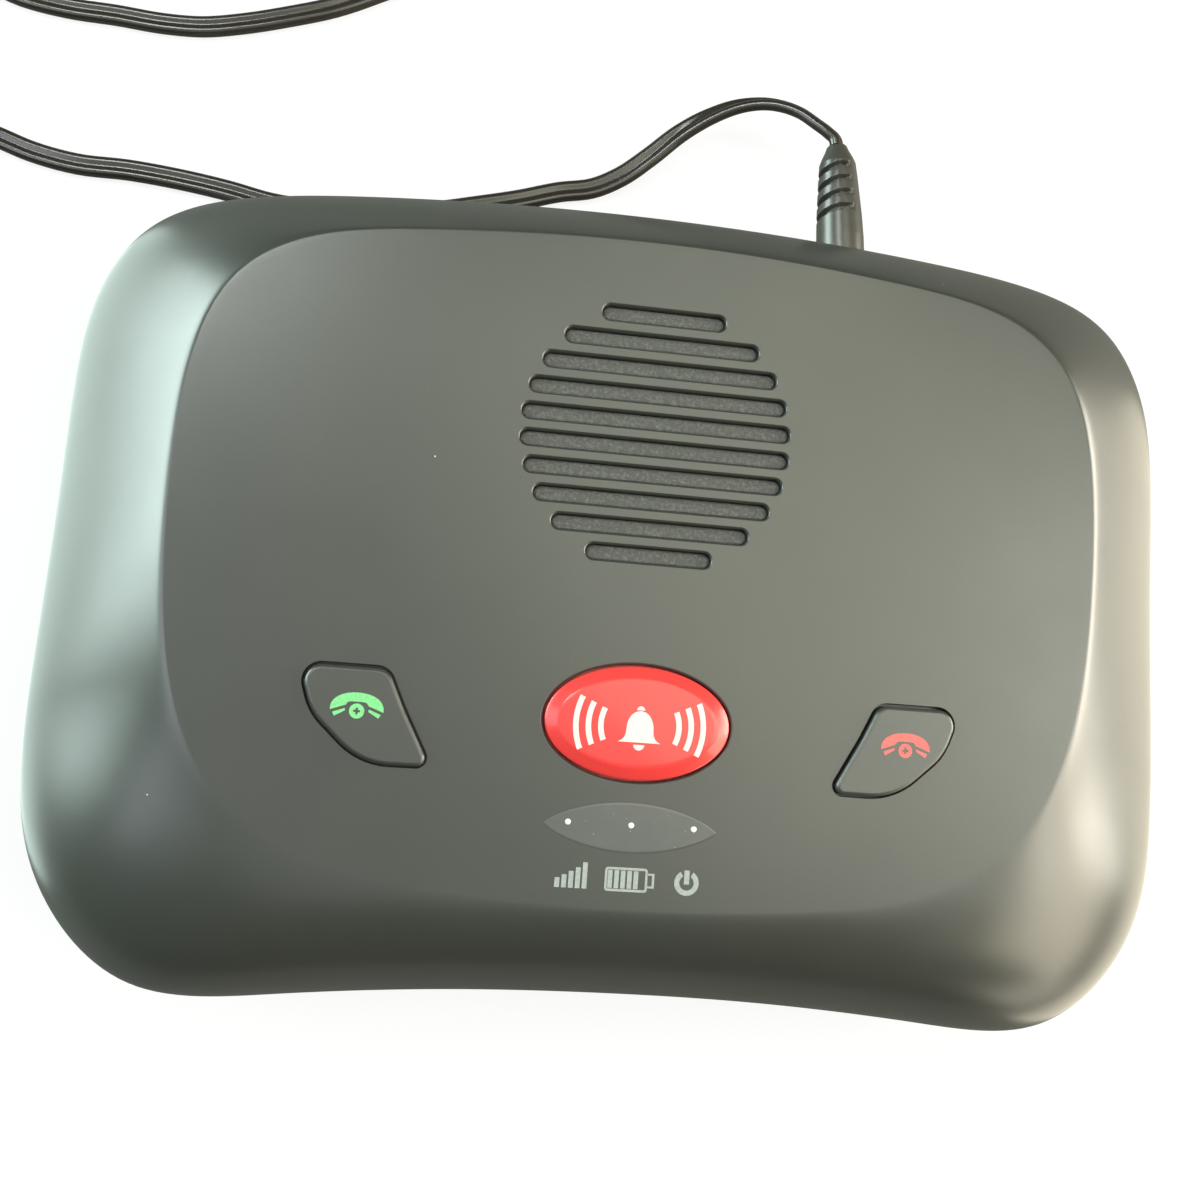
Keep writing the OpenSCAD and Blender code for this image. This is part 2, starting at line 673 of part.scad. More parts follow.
module power_leads() {
    color("#333333") translate([26, 0, 0]) rotate([90, 0, 90]) linear_extrude(4)
        polygon(ribbon([[45, 8], [40, 9.5], [36, 14], [30, 17.4], [20, 17.8], [10, 18.4], [3, 21],
            [-1, 23.2], [-3.6, 23.8], [-4.8, 24.9], [-5, 26.5]], 1.2));
}

module microphone_boot() {
    color("#242424") translate([0, -54.2, 10]) rotate([90, 0, 0]) difference() {
        cylinder(r = 4.1, h = 5.2);
        translate([0, 0, -1]) cylinder(r = 3.05, h = 5);
        cylinder(r = 0.8, h = 10);
    }
}

module microphone_leads() {
    color("#9a2b26") translate([-1, 0, 0]) rotate([90, 0, 90]) linear_extrude(2)
        polygon(ribbon([[-54.1, 10], [-51, 10.4], [-49.4, 12.5], [-48.6, 17], [-47.4, 24],
            [-46.6, board_z - 0.05]], 0.8));
}

module microphone() {
    color("#b5b8ba") translate([0, -54.2, 10]) rotate([90, 0, 0]) cylinder(r = 3, h = 3.8);
}

// ---- plug, lead, coil and adapter ----

// Whatever is on the plug leans a little towards -X, as the lead pulls it
module on_plug() {
    translate([jack_x, plug_pivot, jack_z]) rotate([0, 0, plug_turn]) rotate([-90, 0, 0])
        translate([0, 0, -plug_pivot]) children();
}

module barrel_plug() {
    color("#c4c6c8") on_plug() translate([0, 0, barrel_end]) difference() {
        cylinder(r = barrel_r, h = grip_start - barrel_end);
        translate([0, 0, -1]) cylinder(r = 1.5, h = grip_start - barrel_end);
    }
}

// Each groove runs from the left side over the top, down to a round core
module plug_grip() {
    core_r = 2.1;
    color("#3c3b37") on_plug() difference() {
        rotate_extrude() polygon([[0, grip_start], [grip_d / 2 - 0.4, grip_start],
            [grip_d / 2, grip_start + 0.4], [grip_d / 2, 75], [3.4, 86.4],
            [2.2, grip_end - 0.4], [core_r, grip_end], [0, grip_end]]);
        for (i = [0 : 3]) translate([0, 0, 77.7 + 2.72 * i]) difference() {
            rotate([0, 0, 143]) translate([-6, 1.2, -0.5]) cube([12, 9, 1]);
            translate([0, 0, -1]) cylinder(r = core_r, h = 2);
        }
    }
}

// Flat tube of a twin lead along points p: each ring lies across the path, its width level
function lead_ring(p, d, w, t, sides) =
    let (u = d / norm(d), s = cross([0, 0, 1], u), side = s / norm(s), up = cross(u, side))
    [for (i = [0 : sides - 1]) let (a = 360 * (i + 0.5) / sides)
        p + side * cos(a) * w / 2 / cos(180 / sides)
            + up * sin(a) * t / 2 / (sides % 4 == 0 ? cos(180 / sides) : 1)];

function lead_rings(path, w, t, sides) = let (n = len(path))
    [for (i = [0 : n - 1]) lead_ring(path[i], path[min(i + 1, n - 1)] - path[max(i - 1, 0)], w, t, sides)];

module tube(rings) {
    n = len(rings[0]);
    m = len(rings);
    sides = [for (r = [0 : m - 2]) for (j = [0 : n - 1])
        let (a = r * n + j, b = r * n + (j + 1) % n, c = b + n, d = a + n)
        each [[a, b, c], [a, c, d]]];
    polyhedron([for (r = rings) each r],
        concat([[for (j = [n - 1 : -1 : 0]) j]], sides, [[for (j = [0 : n - 1]) (m - 1) * n + j]]));
}

// Coil: the radius runs in and out again at a steady rate, one layer per run, and the height
// climbs one layer in the half turn where the spiral turns back
coil_turn = coil_layers * layer_turns * 360 + coil_end - coil_start;
function run(a) = a / 360 / layer_turns;
function coil_radius(a) = let (k = run(a) % 2) coil_out - turn_pitch * layer_turns * (k < 1 ? k : 2 - k);
function climbed(a, layer) = smooth(((run(a) - layer) * layer_turns * 360 + climb) / climb / 2);
function coil_height(a) = let (layer = floor(run(a) + 0.5))
    coil_z + layer_pitch * (layer > 0 && layer < coil_layers ? layer - 1 + climbed(a, layer) : floor(run(a)));
function coil_point(a) = [coil_c[0] + coil_radius(a) * cos(coil_start + a),
    coil_c[1] + coil_radius(a) * sin(coil_start + a), coil_height(a)];

coil_steps = ceil(coil_turn / 360 * ring_steps);
coil_path = [for (i = [0 : coil_steps]) coil_point(coil_turn * i / coil_steps)];
coil_last = coil_path[coil_steps];
coil_tail = [for (x = [0.25, 0.5, 0.75, 1]) [coil_last[0] + tail_l * x, coil_last[1],
    coil_last[2] + (adapter_z - coil_last[2]) * smooth(x / 0.75)]];
coil_way = [-sin(coil_start), cos(coil_start), 0];
coil_joint = coil_path[0] - 5 * coil_way;
lead_path = concat(route, [coil_joint - 5 * coil_way, coil_joint]);
coil_line = concat([coil_joint], coil_path, coil_tail);

// Least gap of the coil to itself, on points of its centreline at least half a turn apart: two
// level flat sections are clear of each other sideways or in height, whichever is more
function flat_gap(p, q) = max(norm([p[0] - q[0], p[1] - q[1]]) - lead_w, abs(p[2] - q[2]) - lead_t);
half_turn = ring_steps / 2;
least_gap = min([for (i = [0 : len(coil_line) - 1 - half_turn])
    for (j = [i + half_turn : len(coil_line) - 1]) flat_gap(coil_line[i], coil_line[j])]);
function length_of(p) = [for (i = [0 : len(p) - 2]) norm(p[i + 1] - p[i])] * [for (i = [0 : len(p) - 2]) 1];
echo(least_gap_of_coil = least_gap, lead = length_of(lead_path), coil = length_of(coil_line));

module power_cord() {
    color("#1e1d1b") tube(lead_rings(lead_path, lead_w, lead_t, 8));
}

module cord_coil() {
    color("#1e1d1b") tube(lead_rings(coil_line, lead_w, lead_t, 6));
}

module cord_tie() {
    near = coil_r - turn_pitch - lead_w / 2 - 1;
    far = coil_out + lead_w / 2 + 0.5;
    color("#2a2a2a") translate([coil_c[0] - (near + far) / 2, coil_c[1] + 4, 5.85]) rotate([90, 0, 0])
        linear_extrude(8) difference() {
            polygon(rounded(box_corners(far - near + 1, 11.5, 1.6)));
            polygon(rounded(box_corners(far - near, 10.5, 1.1)));
        }
}

module adapter_relief() {
    color("#232221") translate([relief_x, coil_last[1], adapter_z]) rotate([0, 90, 0]) rotate_extrude()
        polygon([[0, 0], [2.5, 0], [2.7, 0.6], [4, relief_l], [0, relief_l]]);
}

module adapter_body() {
    color("#232221") translate([relief_x + relief_l + adapter_l / 2, coil_last[1], 0]) union() {
        slab(adapter_l, adapter_w, 15, 5);
        translate([0, 0, 15]) slab(adapter_l - 1.2, adapter_w - 1.2, adapter_h - 15, 4.4);
    }
}

module adapter_blades() {
    blade_x = relief_x + relief_l + adapter_l - 20;
    color("#c4c6c8") for (s = [-1, 1]) translate([blade_x, coil_last[1] + s * 6.35, adapter_h])
        difference() {
            translate([-3.2, -0.75, 0]) cube([6.4, 1.5, 17]);
            translate([0, 2, 13.4]) rotate([90, 0, 0]) cylinder(r = 1.6, h = 4);
        }
}

top_cover();
bottom_cover();
battery_door();
door_screw();
case_screws();
foot(-foot_x, foot_front);  // front_left_foot
foot(foot_x, foot_front);  // front_right_foot
foot(-foot_x, foot_back);  // rear_left_foot
foot(foot_x, foot_back);  // rear_right_foot
help_button();
answer_button();
end_button();
indicator_lens();
light_guide();
grille_cloth();
speaker_gasket();
speaker_frame();
speaker_cone();
speaker_magnet();
speaker_screws();
speaker_leads();
main_board();
board_screws();
tact_switch(0, -help_y);  // help_switch
tact_switch(-41.5, -21.5);  // answer_switch
tact_switch(41.5, -21.5);  // end_switch
tact_plunger(0, -help_y);  // help_plunger
tact_plunger(-41.5, -21.5);  // answer_plunger
tact_plunger(41.5, -21.5);  // end_plunger
led(-light_pitch, "#7fd08a");  // signal_led
led(0, "#e8b04a");  // battery_led
led(light_pitch, "#7fd08a");  // power_led
processor();
cellular_module();
sim_holder();
radio_module();
radio_antenna();
cellular_antenna();
connector(-0.5, -3);  // speaker_connector
connector(20, -14);  // battery_connector
connector(28, -5);  // power_connector
battery_pack();
battery_leads();
power_board();
power_board_screws();
power_jack();
switch_housing();
switch_slider();
power_leads();
microphone();
microphone_leads();
microphone_boot();
barrel_plug();
plug_grip();
power_cord();
cord_coil();
cord_tie();
adapter_body();
adapter_relief();
adapter_blades();
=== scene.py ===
import json
import math

import bpy
import numpy as np
from mathutils import Matrix, Vector


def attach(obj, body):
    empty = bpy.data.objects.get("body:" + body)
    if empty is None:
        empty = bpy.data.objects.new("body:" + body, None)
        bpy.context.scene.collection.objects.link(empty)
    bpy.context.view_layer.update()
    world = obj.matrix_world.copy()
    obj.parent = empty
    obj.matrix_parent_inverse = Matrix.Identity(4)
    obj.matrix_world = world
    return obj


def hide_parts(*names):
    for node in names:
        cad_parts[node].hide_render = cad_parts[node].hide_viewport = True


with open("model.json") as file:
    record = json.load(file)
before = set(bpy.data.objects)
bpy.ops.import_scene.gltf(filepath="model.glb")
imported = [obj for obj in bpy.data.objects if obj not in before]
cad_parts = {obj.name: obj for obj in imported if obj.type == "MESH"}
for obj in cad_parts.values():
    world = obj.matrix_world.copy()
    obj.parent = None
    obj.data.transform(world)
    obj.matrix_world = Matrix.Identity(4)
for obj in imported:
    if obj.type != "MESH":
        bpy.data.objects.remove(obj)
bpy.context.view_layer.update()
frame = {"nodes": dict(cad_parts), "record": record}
print("frame loaded:", len(frame["nodes"]), "nodes")

# Everything below is worked out in millimetres and scaled to metres when a piece is finished
mm = 0.001

# ---- camera: close above the panel, turned a little ----

view = {
    "place": (-29.12, -19.99, 228.0),
    "aim": (-7.13, -1.42, 40.0),
    "up": (-0.0822, 0.9927, 0.0884),
    "lens": 36.99,
    "sensor": 36.0,
}


def newObject(name, data):
    piece = bpy.data.objects.new(name, data)
    bpy.context.scene.collection.objects.link(piece)
    return piece


def placeCamera(view):
    data = bpy.data.cameras.new("camera")
    data.lens = view["lens"]
    data.sensor_width = view["sensor"]
    data.clip_start = 0.005
    camera = newObject("camera", data)
    back = (Vector(view["place"]) - Vector(view["aim"])).normalized()
    right = Vector(view["up"]).cross(back).normalized()
    turn = Matrix((right, back.cross(right), back)).transposed().to_4x4()
    camera.matrix_world = Matrix.Translation(Vector(view["place"]) * mm) @ turn
    bpy.context.scene.camera = camera


placeCamera(view)

# ---- surfaces from numpy arrays ----
# A shape holds points, four-sided faces and end caps, all facing outwards


def loft(rings, closed=False):
    # Rings of equal length, clockwise seen from above, listed from the top down: every ring is
    # joined to the next by a band of quads, and the last is joined to the first or both are capped
    rings = np.asarray(rings, float)
    rows, columns = rings.shape[:2]
    here = np.arange(columns)
    row = np.arange(rows if closed else rows - 1)[:, None] * columns
    below, beside = (row + columns) % (rows * columns), (here + 1) % columns
    quads = np.stack([row + here, row + beside, below + beside, below + here], -1).reshape(-1, 4)
    caps = [] if closed else [here[::-1], (rows - 1) * columns + here]
    return {"points": rings.reshape(-1, 3), "quads": quads, "caps": caps}


def volumeOf(shape):
    # Sum of the signed tetrahedra between the origin and every triangle
    p, q = shape["points"] - shape["points"].mean(0), shape["quads"]
    triangles = [q[:, [0, 1, 2]], q[:, [0, 2, 3]]]
    for cap in shape["caps"]:
        triangles.append(np.stack([np.full(len(cap) - 2, cap[0]), cap[1:-1], cap[2:]], 1))
    t = np.concatenate(triangles)
    return np.einsum("ij,ij->", np.cross(p[t[:, 0]], p[t[:, 1]]), p[t[:, 2]]) / 6


def outward(shape):
    if volumeOf(shape) < 0:
        shape["quads"] = shape["quads"][:, ::-1]
        shape["caps"] = [cap[::-1] for cap in shape["caps"]]
    return shape


def joined(shapes):
    first = np.cumsum([0] + [len(s["points"]) for s in shapes])
    return {
        "points": np.concatenate([s["points"] for s in shapes]),
        "quads": np.concatenate([s["quads"] + f for s, f in zip(shapes, first)]),
        "caps": [cap + f for s, f in zip(shapes, first) for cap in s["caps"]],
    }


def turned(shape, matrix):
    m = np.array(matrix)
    shape["points"] = shape["points"] @ m[:3, :3].T + m[:3, 3]
    return shape


def atHeight(outline, z):
    outline = np.asarray(outline, float)
    return np.column_stack([outline, np.broadcast_to(z, len(outline))])


def prism(outline, low, high):
    return loft([atHeight(outline, high), atHeight(outline, low)])


def post(place, radius, low, high, count=32):
    return prism(circle(*place, radius, count), low, high)


def posts(places, radius, low, high):
    return [post(place, radius, low, high) for place in places]


def block(place, width, depth, radius, low, high):
    return prism(roundedBox(width, depth, radius) + place, low, high)


def grown(outline, distance):
    # Each point moves along the outward normal of a clockwise outline
    along = np.roll(outline, -1, 0) - np.roll(outline, 1, 0)
    across = np.column_stack([-along[:, 1], along[:, 0]])
    return outline + across / np.linalg.norm(across, axis=1)[:, None] * distance


def circle(x, y, radius, count=64):
    a = -2 * np.pi * np.arange(count) / count
    return np.column_stack([x + radius * np.cos(a), y + radius * np.sin(a)])


def ellipse(width, depth, count=144):
    return circle(0, 0, 1, count) * [width / 2, depth / 2]


def stadium(length, radius, count=24):
    # Two half circles of the radius, their centres the length apart, clockwise from the top right
    a = np.pi / 2 - np.pi * np.arange(count + 1) / count
    end = np.column_stack([length / 2 + radius * np.cos(a), radius * np.sin(a)])
    return np.concatenate([end, -end])


def roundedOutline(corners, degrees=5.0):
    # Corners (x, y, radius) listed clockwise: each is swapped for the arc that touches both sides
    corners = np.asarray(corners, float)
    points = []
    for before, here, after in zip(np.roll(corners, 1, 0), corners, np.roll(corners, -1, 0)):
        ua = (before[:2] - here[:2]) / np.linalg.norm(before[:2] - here[:2])
        ub = (after[:2] - here[:2]) / np.linalg.norm(after[:2] - here[:2])
        half = math.acos(np.clip(ua @ ub, -1, 1)) / 2
        centre = here[:2] + (ua + ub) / np.linalg.norm(ua + ub) * here[2] / math.sin(half)
        start = here[:2] + ua * here[2] / math.tan(half) - centre
        stop = here[:2] + ub * here[2] / math.tan(half) - centre
        turn = math.atan2(start[0] * stop[1] - start[1] * stop[0], start @ stop)
        steps = max(2, math.ceil(abs(math.degrees(turn)) / degrees))
        a = math.atan2(start[1], start[0]) + turn * np.arange(steps + 1) / steps
        points.append(centre + here[2] * np.column_stack([np.cos(a), np.sin(a)]))
    return np.concatenate(points)


def roundedBox(width, depth, radius):
    w, d = width / 2, depth / 2
    return roundedOutline([(w, d, radius), (w, -d, radius), (-w, -d, radius), (-w, d, radius)])


def flared(outlineOf, low, top, fillet, rows=7):
    # A cutter whose wall turns outwards along a quarter circle just under the surface at top,
    # so that the opening it leaves has a rounded edge
    a = np.radians(np.linspace(0, 78, rows))
    rings = [atHeight(outlineOf(fillet * (1 - math.cos(a[-1])) + 0.05), top + 1)]
    for angle in a[::-1]:
        out, up = fillet * (1 - math.cos(angle)), fillet * (math.sin(angle) - math.sin(a[-1]))
        rings.append(atHeight(outlineOf(out), top + 0.004 + up))
    rings.append(atHeight(outlineOf(0), low))
    return loft(rings)


def smoothStep(t):
    t = np.clip(t, 0, 1)
    return t * t * (3 - 2 * t)


def runAlong(points):
    # The length of the line from its first point to each of the others
    return np.concatenate([[0], np.cumsum(np.linalg.norm(np.diff(points, axis=0), axis=1))])


def smoothLine(points, steps):
    # Cubic Hermite curve through the points, with slopes from the neighbouring points and a
    # parameter that runs with the chord's length
    points = np.asarray(points, float)
    knots = runAlong(points)
    slopes = np.gradient(points, knots, axis=0)
    t = np.arange(steps)[None, :, None] / steps
    span = np.diff(knots)[:, None, None]
    a, b = points[:-1, None], points[1:, None]
    u, v = slopes[:-1, None] * span, slopes[1:, None] * span
    curve = (a * (2 * t**3 - 3 * t**2 + 1) + u * (t**3 - 2 * t**2 + t)
             + b * (3 * t**2 - 2 * t**3) + v * (t**3 - t**2))
    return np.concatenate([curve.reshape(-1, 3), points[-1:]])


# ---- making pieces ----


def solid(name, shape):
    mesh = bpy.data.meshes.new(name)
    faces = shape["quads"].tolist() + [cap.tolist() for cap in shape["caps"]]
    mesh.from_pydata(shape["points"].tolist(), [], faces)
    return newObject(name, mesh)


def carve(piece, shape, operation="DIFFERENCE"):
    tool = solid("tool", shape)
    modifier = piece.modifiers.new("carve", "BOOLEAN")
    modifier.object = tool
    modifier.solver = "MANIFOLD"
    modifier.operation = operation
    carved = bpy.data.meshes.new_from_object(
        piece.evaluated_get(bpy.context.evaluated_depsgraph_get()))
    piece.modifiers.clear()
    old = piece.data
    piece.data = carved
    carved.name = piece.name
    bpy.data.meshes.remove(old)
    bpy.data.objects.remove(tool)


def settle(piece, finish, body, replaced=(), sharp=40, weighted=False):
    # To metres, smooth faces with sharp edges above the angle, then the piece rides on its body
    mesh = piece.data
    mesh.transform(Matrix.Scale(mm, 4))
    mesh.polygons.foreach_set("use_smooth", np.ones(len(mesh.polygons), bool))
    mesh.set_sharp_from_angle(angle=math.radians(sharp))
    mesh.materials.clear()
    mesh.materials.append(materials[finish])
    mesh.update()
    if weighted:
        piece.modifiers.new("normals", "WEIGHTED_NORMAL").keep_sharp = True
    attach(piece, body)
    if replaced:
        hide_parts(*replaced)
    return piece


# ---- materials ----


def addNode(tree, kind, inputs=None, **settings):
    node = tree.nodes.new(kind)
    for name, value in settings.items():
        setattr(node, name, value)
    for name, value in (inputs or {}).items():
        if isinstance(value, bpy.types.NodeSocket):
            tree.links.new(value, node.inputs[name])
        else:
            node.inputs[name].default_value = value
    return node


def newMaterial(name, colour, roughness, sockets=()):
    material = bpy.data.materials.new(name)
    material.use_nodes = True
    tree = material.node_tree
    shader = tree.nodes["Principled BSDF"]
    for socket, value in {"Base Color": (*colour, 1), "Roughness": roughness, **dict(sockets)}.items():
        shader.inputs[socket].default_value = value
    place = addNode(tree, "ShaderNodeTexCoord").outputs["Object"]
    return material, tree, shader, place


def feed(shader, socket, value):
    shader.id_data.links.new(value, shader.inputs[socket])


def noise(tree, place, size, detail=2.0, rough=0.5):
    # A noise whose features are about size millimetres across
    return addNode(tree, "ShaderNodeTexNoise", {
        "Vector": place, "Scale": 1 / (size * mm), "Detail": detail, "Roughness": rough,
    }).outputs["Fac"]


def spread(tree, value, low, high, start=0.25, stop=0.75):
    return addNode(tree, "ShaderNodeMapRange", {
        "Value": value, "From Min": start, "From Max": stop, "To Min": low, "To Max": high,
    }, interpolation_type="SMOOTHSTEP").outputs["Result"]


def blendColour(tree, factor, first, second):
    return addNode(tree, "ShaderNodeMixRGB", {
        "Fac": factor, "Color1": first, "Color2": second,
    }).outputs["Color"]


def maths(tree, operation, first, second):
    return addNode(tree, "ShaderNodeMath", {0: first, 1: second}, operation=operation).outputs["Value"]


def scaled(tree, colour, factor):
    return addNode(tree, "ShaderNodeVectorMath", {0: colour, "Scale": factor},
                   operation="SCALE").outputs["Vector"]


def shade(colour, factor):
    return (*[min(1.0, c * factor) for c in colour], 1)


def mottled(tree, value, colour, low, high, *span):
    return blendColour(tree, spread(tree, value, 0, 1, *span), shade(colour, low), shade(colour, high))


def gloss(tree, shader, value, low, high, *span):
    feed(shader, "Roughness", spread(tree, value, low, high, *span))


def bumpNormal(tree, shader, height, depth, strength):
    feed(shader, "Normal", addNode(tree, "ShaderNodeBump", {
        "Height": height, "Distance": depth * mm, "Strength": strength,
    }).outputs["Normal"])


def specks(tree, place, spacing, size, share):
    # Tiny spots: cells of a cell pattern whose centre is nearer than size, on a share of the cells
    cell = addNode(tree, "ShaderNodeTexVoronoi", {"Vector": place, "Scale": 1 / (spacing * mm)})
    near = spread(tree, cell.outputs["Distance"], 1, 0, size / spacing * 0.6, size / spacing)
    pick = addNode(tree, "ShaderNodeSeparateColor", {"Color": cell.outputs["Color"]})
    return maths(tree, "MULTIPLY", near, maths(tree, "LESS_THAN", pick.outputs["Red"], share))


def moulded(tree, shader, place, look):
    # Moulded plastic: slow mottling of colour and gloss, a fine grain in the surface, some dust
    colour, rough, cloud = look["colour"], look["roughness"], look.get("cloud", 18)
    mottle, fleck, swing = look.get("mottle", 0.05), look.get("fleck", 0.06), look.get("glossSwing", 0.04)
    grain = noise(tree, place, look.get("grain", 0.25), 2)
    mixed = mottled(tree, noise(tree, place, cloud, 3), colour, 1 - mottle, 1 + mottle, 0, 1)
    mixed = scaled(tree, mixed, spread(tree, grain, 1 - fleck, 1 + fleck))
    if "dust" in look:
        mixed = blendColour(tree, specks(tree, place, *look["dust"]), mixed, (0.75, 0.74, 0.7, 1))
    feed(shader, "Base Color", mixed)
    gloss(tree, shader, noise(tree, place, cloud * 0.6, 3), rough - swing, rough + swing, 0, 1)
    bumpNormal(tree, shader, grain, look.get("depth", 0.02), look.get("strength", 0.35))


def metal(tree, shader, place, look):
    # Bare metal: fine marks drawn out along one axis change its gloss and its surface
    shader.inputs["Metallic"].default_value = 1.0
    drawn = addNode(tree, "ShaderNodeMapping", {"Vector": place, "Scale": look.get("drawn", (1, 12, 1))})
    marks = noise(tree, drawn.outputs["Vector"], 0.8, 4)
    feed(shader, "Base Color", mottled(tree, noise(tree, place, 4, 3), look["colour"], 0.86, 1.06))
    gloss(tree, shader, marks, look["roughness"] * 0.7, look["roughness"] * 1.35)
    bumpNormal(tree, shader, marks, 0.01, 0.25)


def rubber(tree, shader, place, look):
    # Rubber or textile tape: a coarse grain, paler where dust has settled
    grain = noise(tree, place, 0.35, 3, 0.6)
    dusty = spread(tree, noise(tree, place, 5, 4), 0, 0.35)
    feed(shader, "Base Color", blendColour(tree, dusty, shade(look["colour"], 1),
                                           shade(look["colour"], 2.2)))
    gloss(tree, shader, grain, look["roughness"] - 0.08, look["roughness"] + 0.08)
    bumpNormal(tree, shader, grain, 0.03, 0.5)


def woven(tree, shader, place, look):
    # Plain weave: threads along X and along Y, each a wave of the thread's pitch, with a pale dust on top
    # that is partly real dust and partly painted light lifting the shade in the slots
    waves = [addNode(tree, "ShaderNodeTexWave", {
        "Vector": place, "Scale": 2 * math.pi / (20 * look["pitch"] * mm),
        "Distortion": 0.6, "Detail": 2.0, "Detail Scale": 0.4,
    }, bands_direction=direction).outputs["Fac"] for direction in ("X", "Y")]
    height = maths(tree, "MULTIPLY", *waves)
    # The pale dust mixed in here is partly real dust and partly painted light that lifts the cloth's tone
    # against the shade of the slots
    dusty = spread(tree, noise(tree, place, 0.55, 5, 0.75), 0, 1, 0.42, 0.78)
    thread = blendColour(tree, height, shade(look["colour"], 0.85), shade(look["colour"], 1.1))
    feed(shader, "Base Color", blendColour(tree, maths(tree, "MULTIPLY", dusty, look["dusty"]), thread,
                                           (*look["dustAndPaintedLightColour"], 1)))
    bumpNormal(tree, shader, height, 0.08, 0.5)


def circuit(tree, shader, place, look):
    # Solder mask over copper: raised tracks show a little lighter than the bare board
    tracks = addNode(tree, "ShaderNodeTexBrick", {
        "Vector": place, "Scale": 1 / (3 * mm), "Mortar Size": 0.06, "Mortar Smooth": 0.3,
        "Color1": shade(look["colour"], 1), "Color2": shade(look["colour"], 0.85),
        "Mortar": shade(look["colour"], 1.6), "Brick Width": 1.7, "Row Height": 0.4,
    })
    feed(shader, "Base Color", tracks.outputs["Color"])
    gloss(tree, shader, noise(tree, place, 0.5, 3), look["roughness"] - 0.06, look["roughness"] + 0.06)
    bumpNormal(tree, shader, tracks.outputs["Fac"], 0.03, 0.6)


def resin(tree, shader, place, look):
    # Clear or tinted resin: light passes, with faint flow marks and a fine haze
    haze = noise(tree, place, 1.2, 4)
    gloss(tree, shader, haze, look["roughness"] * 0.9, look["roughness"] * 1.12)
    colour = mottled(tree, noise(tree, place, 6, 3), look["colour"], 0.92, 1.06)
    if "dust" in look:
        colour = blendColour(tree, specks(tree, place, *look["dust"]), colour, (0.4, 0.42, 0.41, 1))
    feed(shader, "Base Color", colour)
    bumpNormal(tree, shader, haze, 0.01, 0.2)


def ink(tree, shader, place, look):
    # Printed ink: worn a little by a fine noise
    wear = spread(tree, noise(tree, place, 0.35, 4, 0.65), 0.82, 1.0, 0.35, 0.6)
    feed(shader, "Base Color", scaled(tree, look["colour"], wear))
    bumpNormal(tree, shader, noise(tree, place, 0.3, 2), 0.01, 0.2)


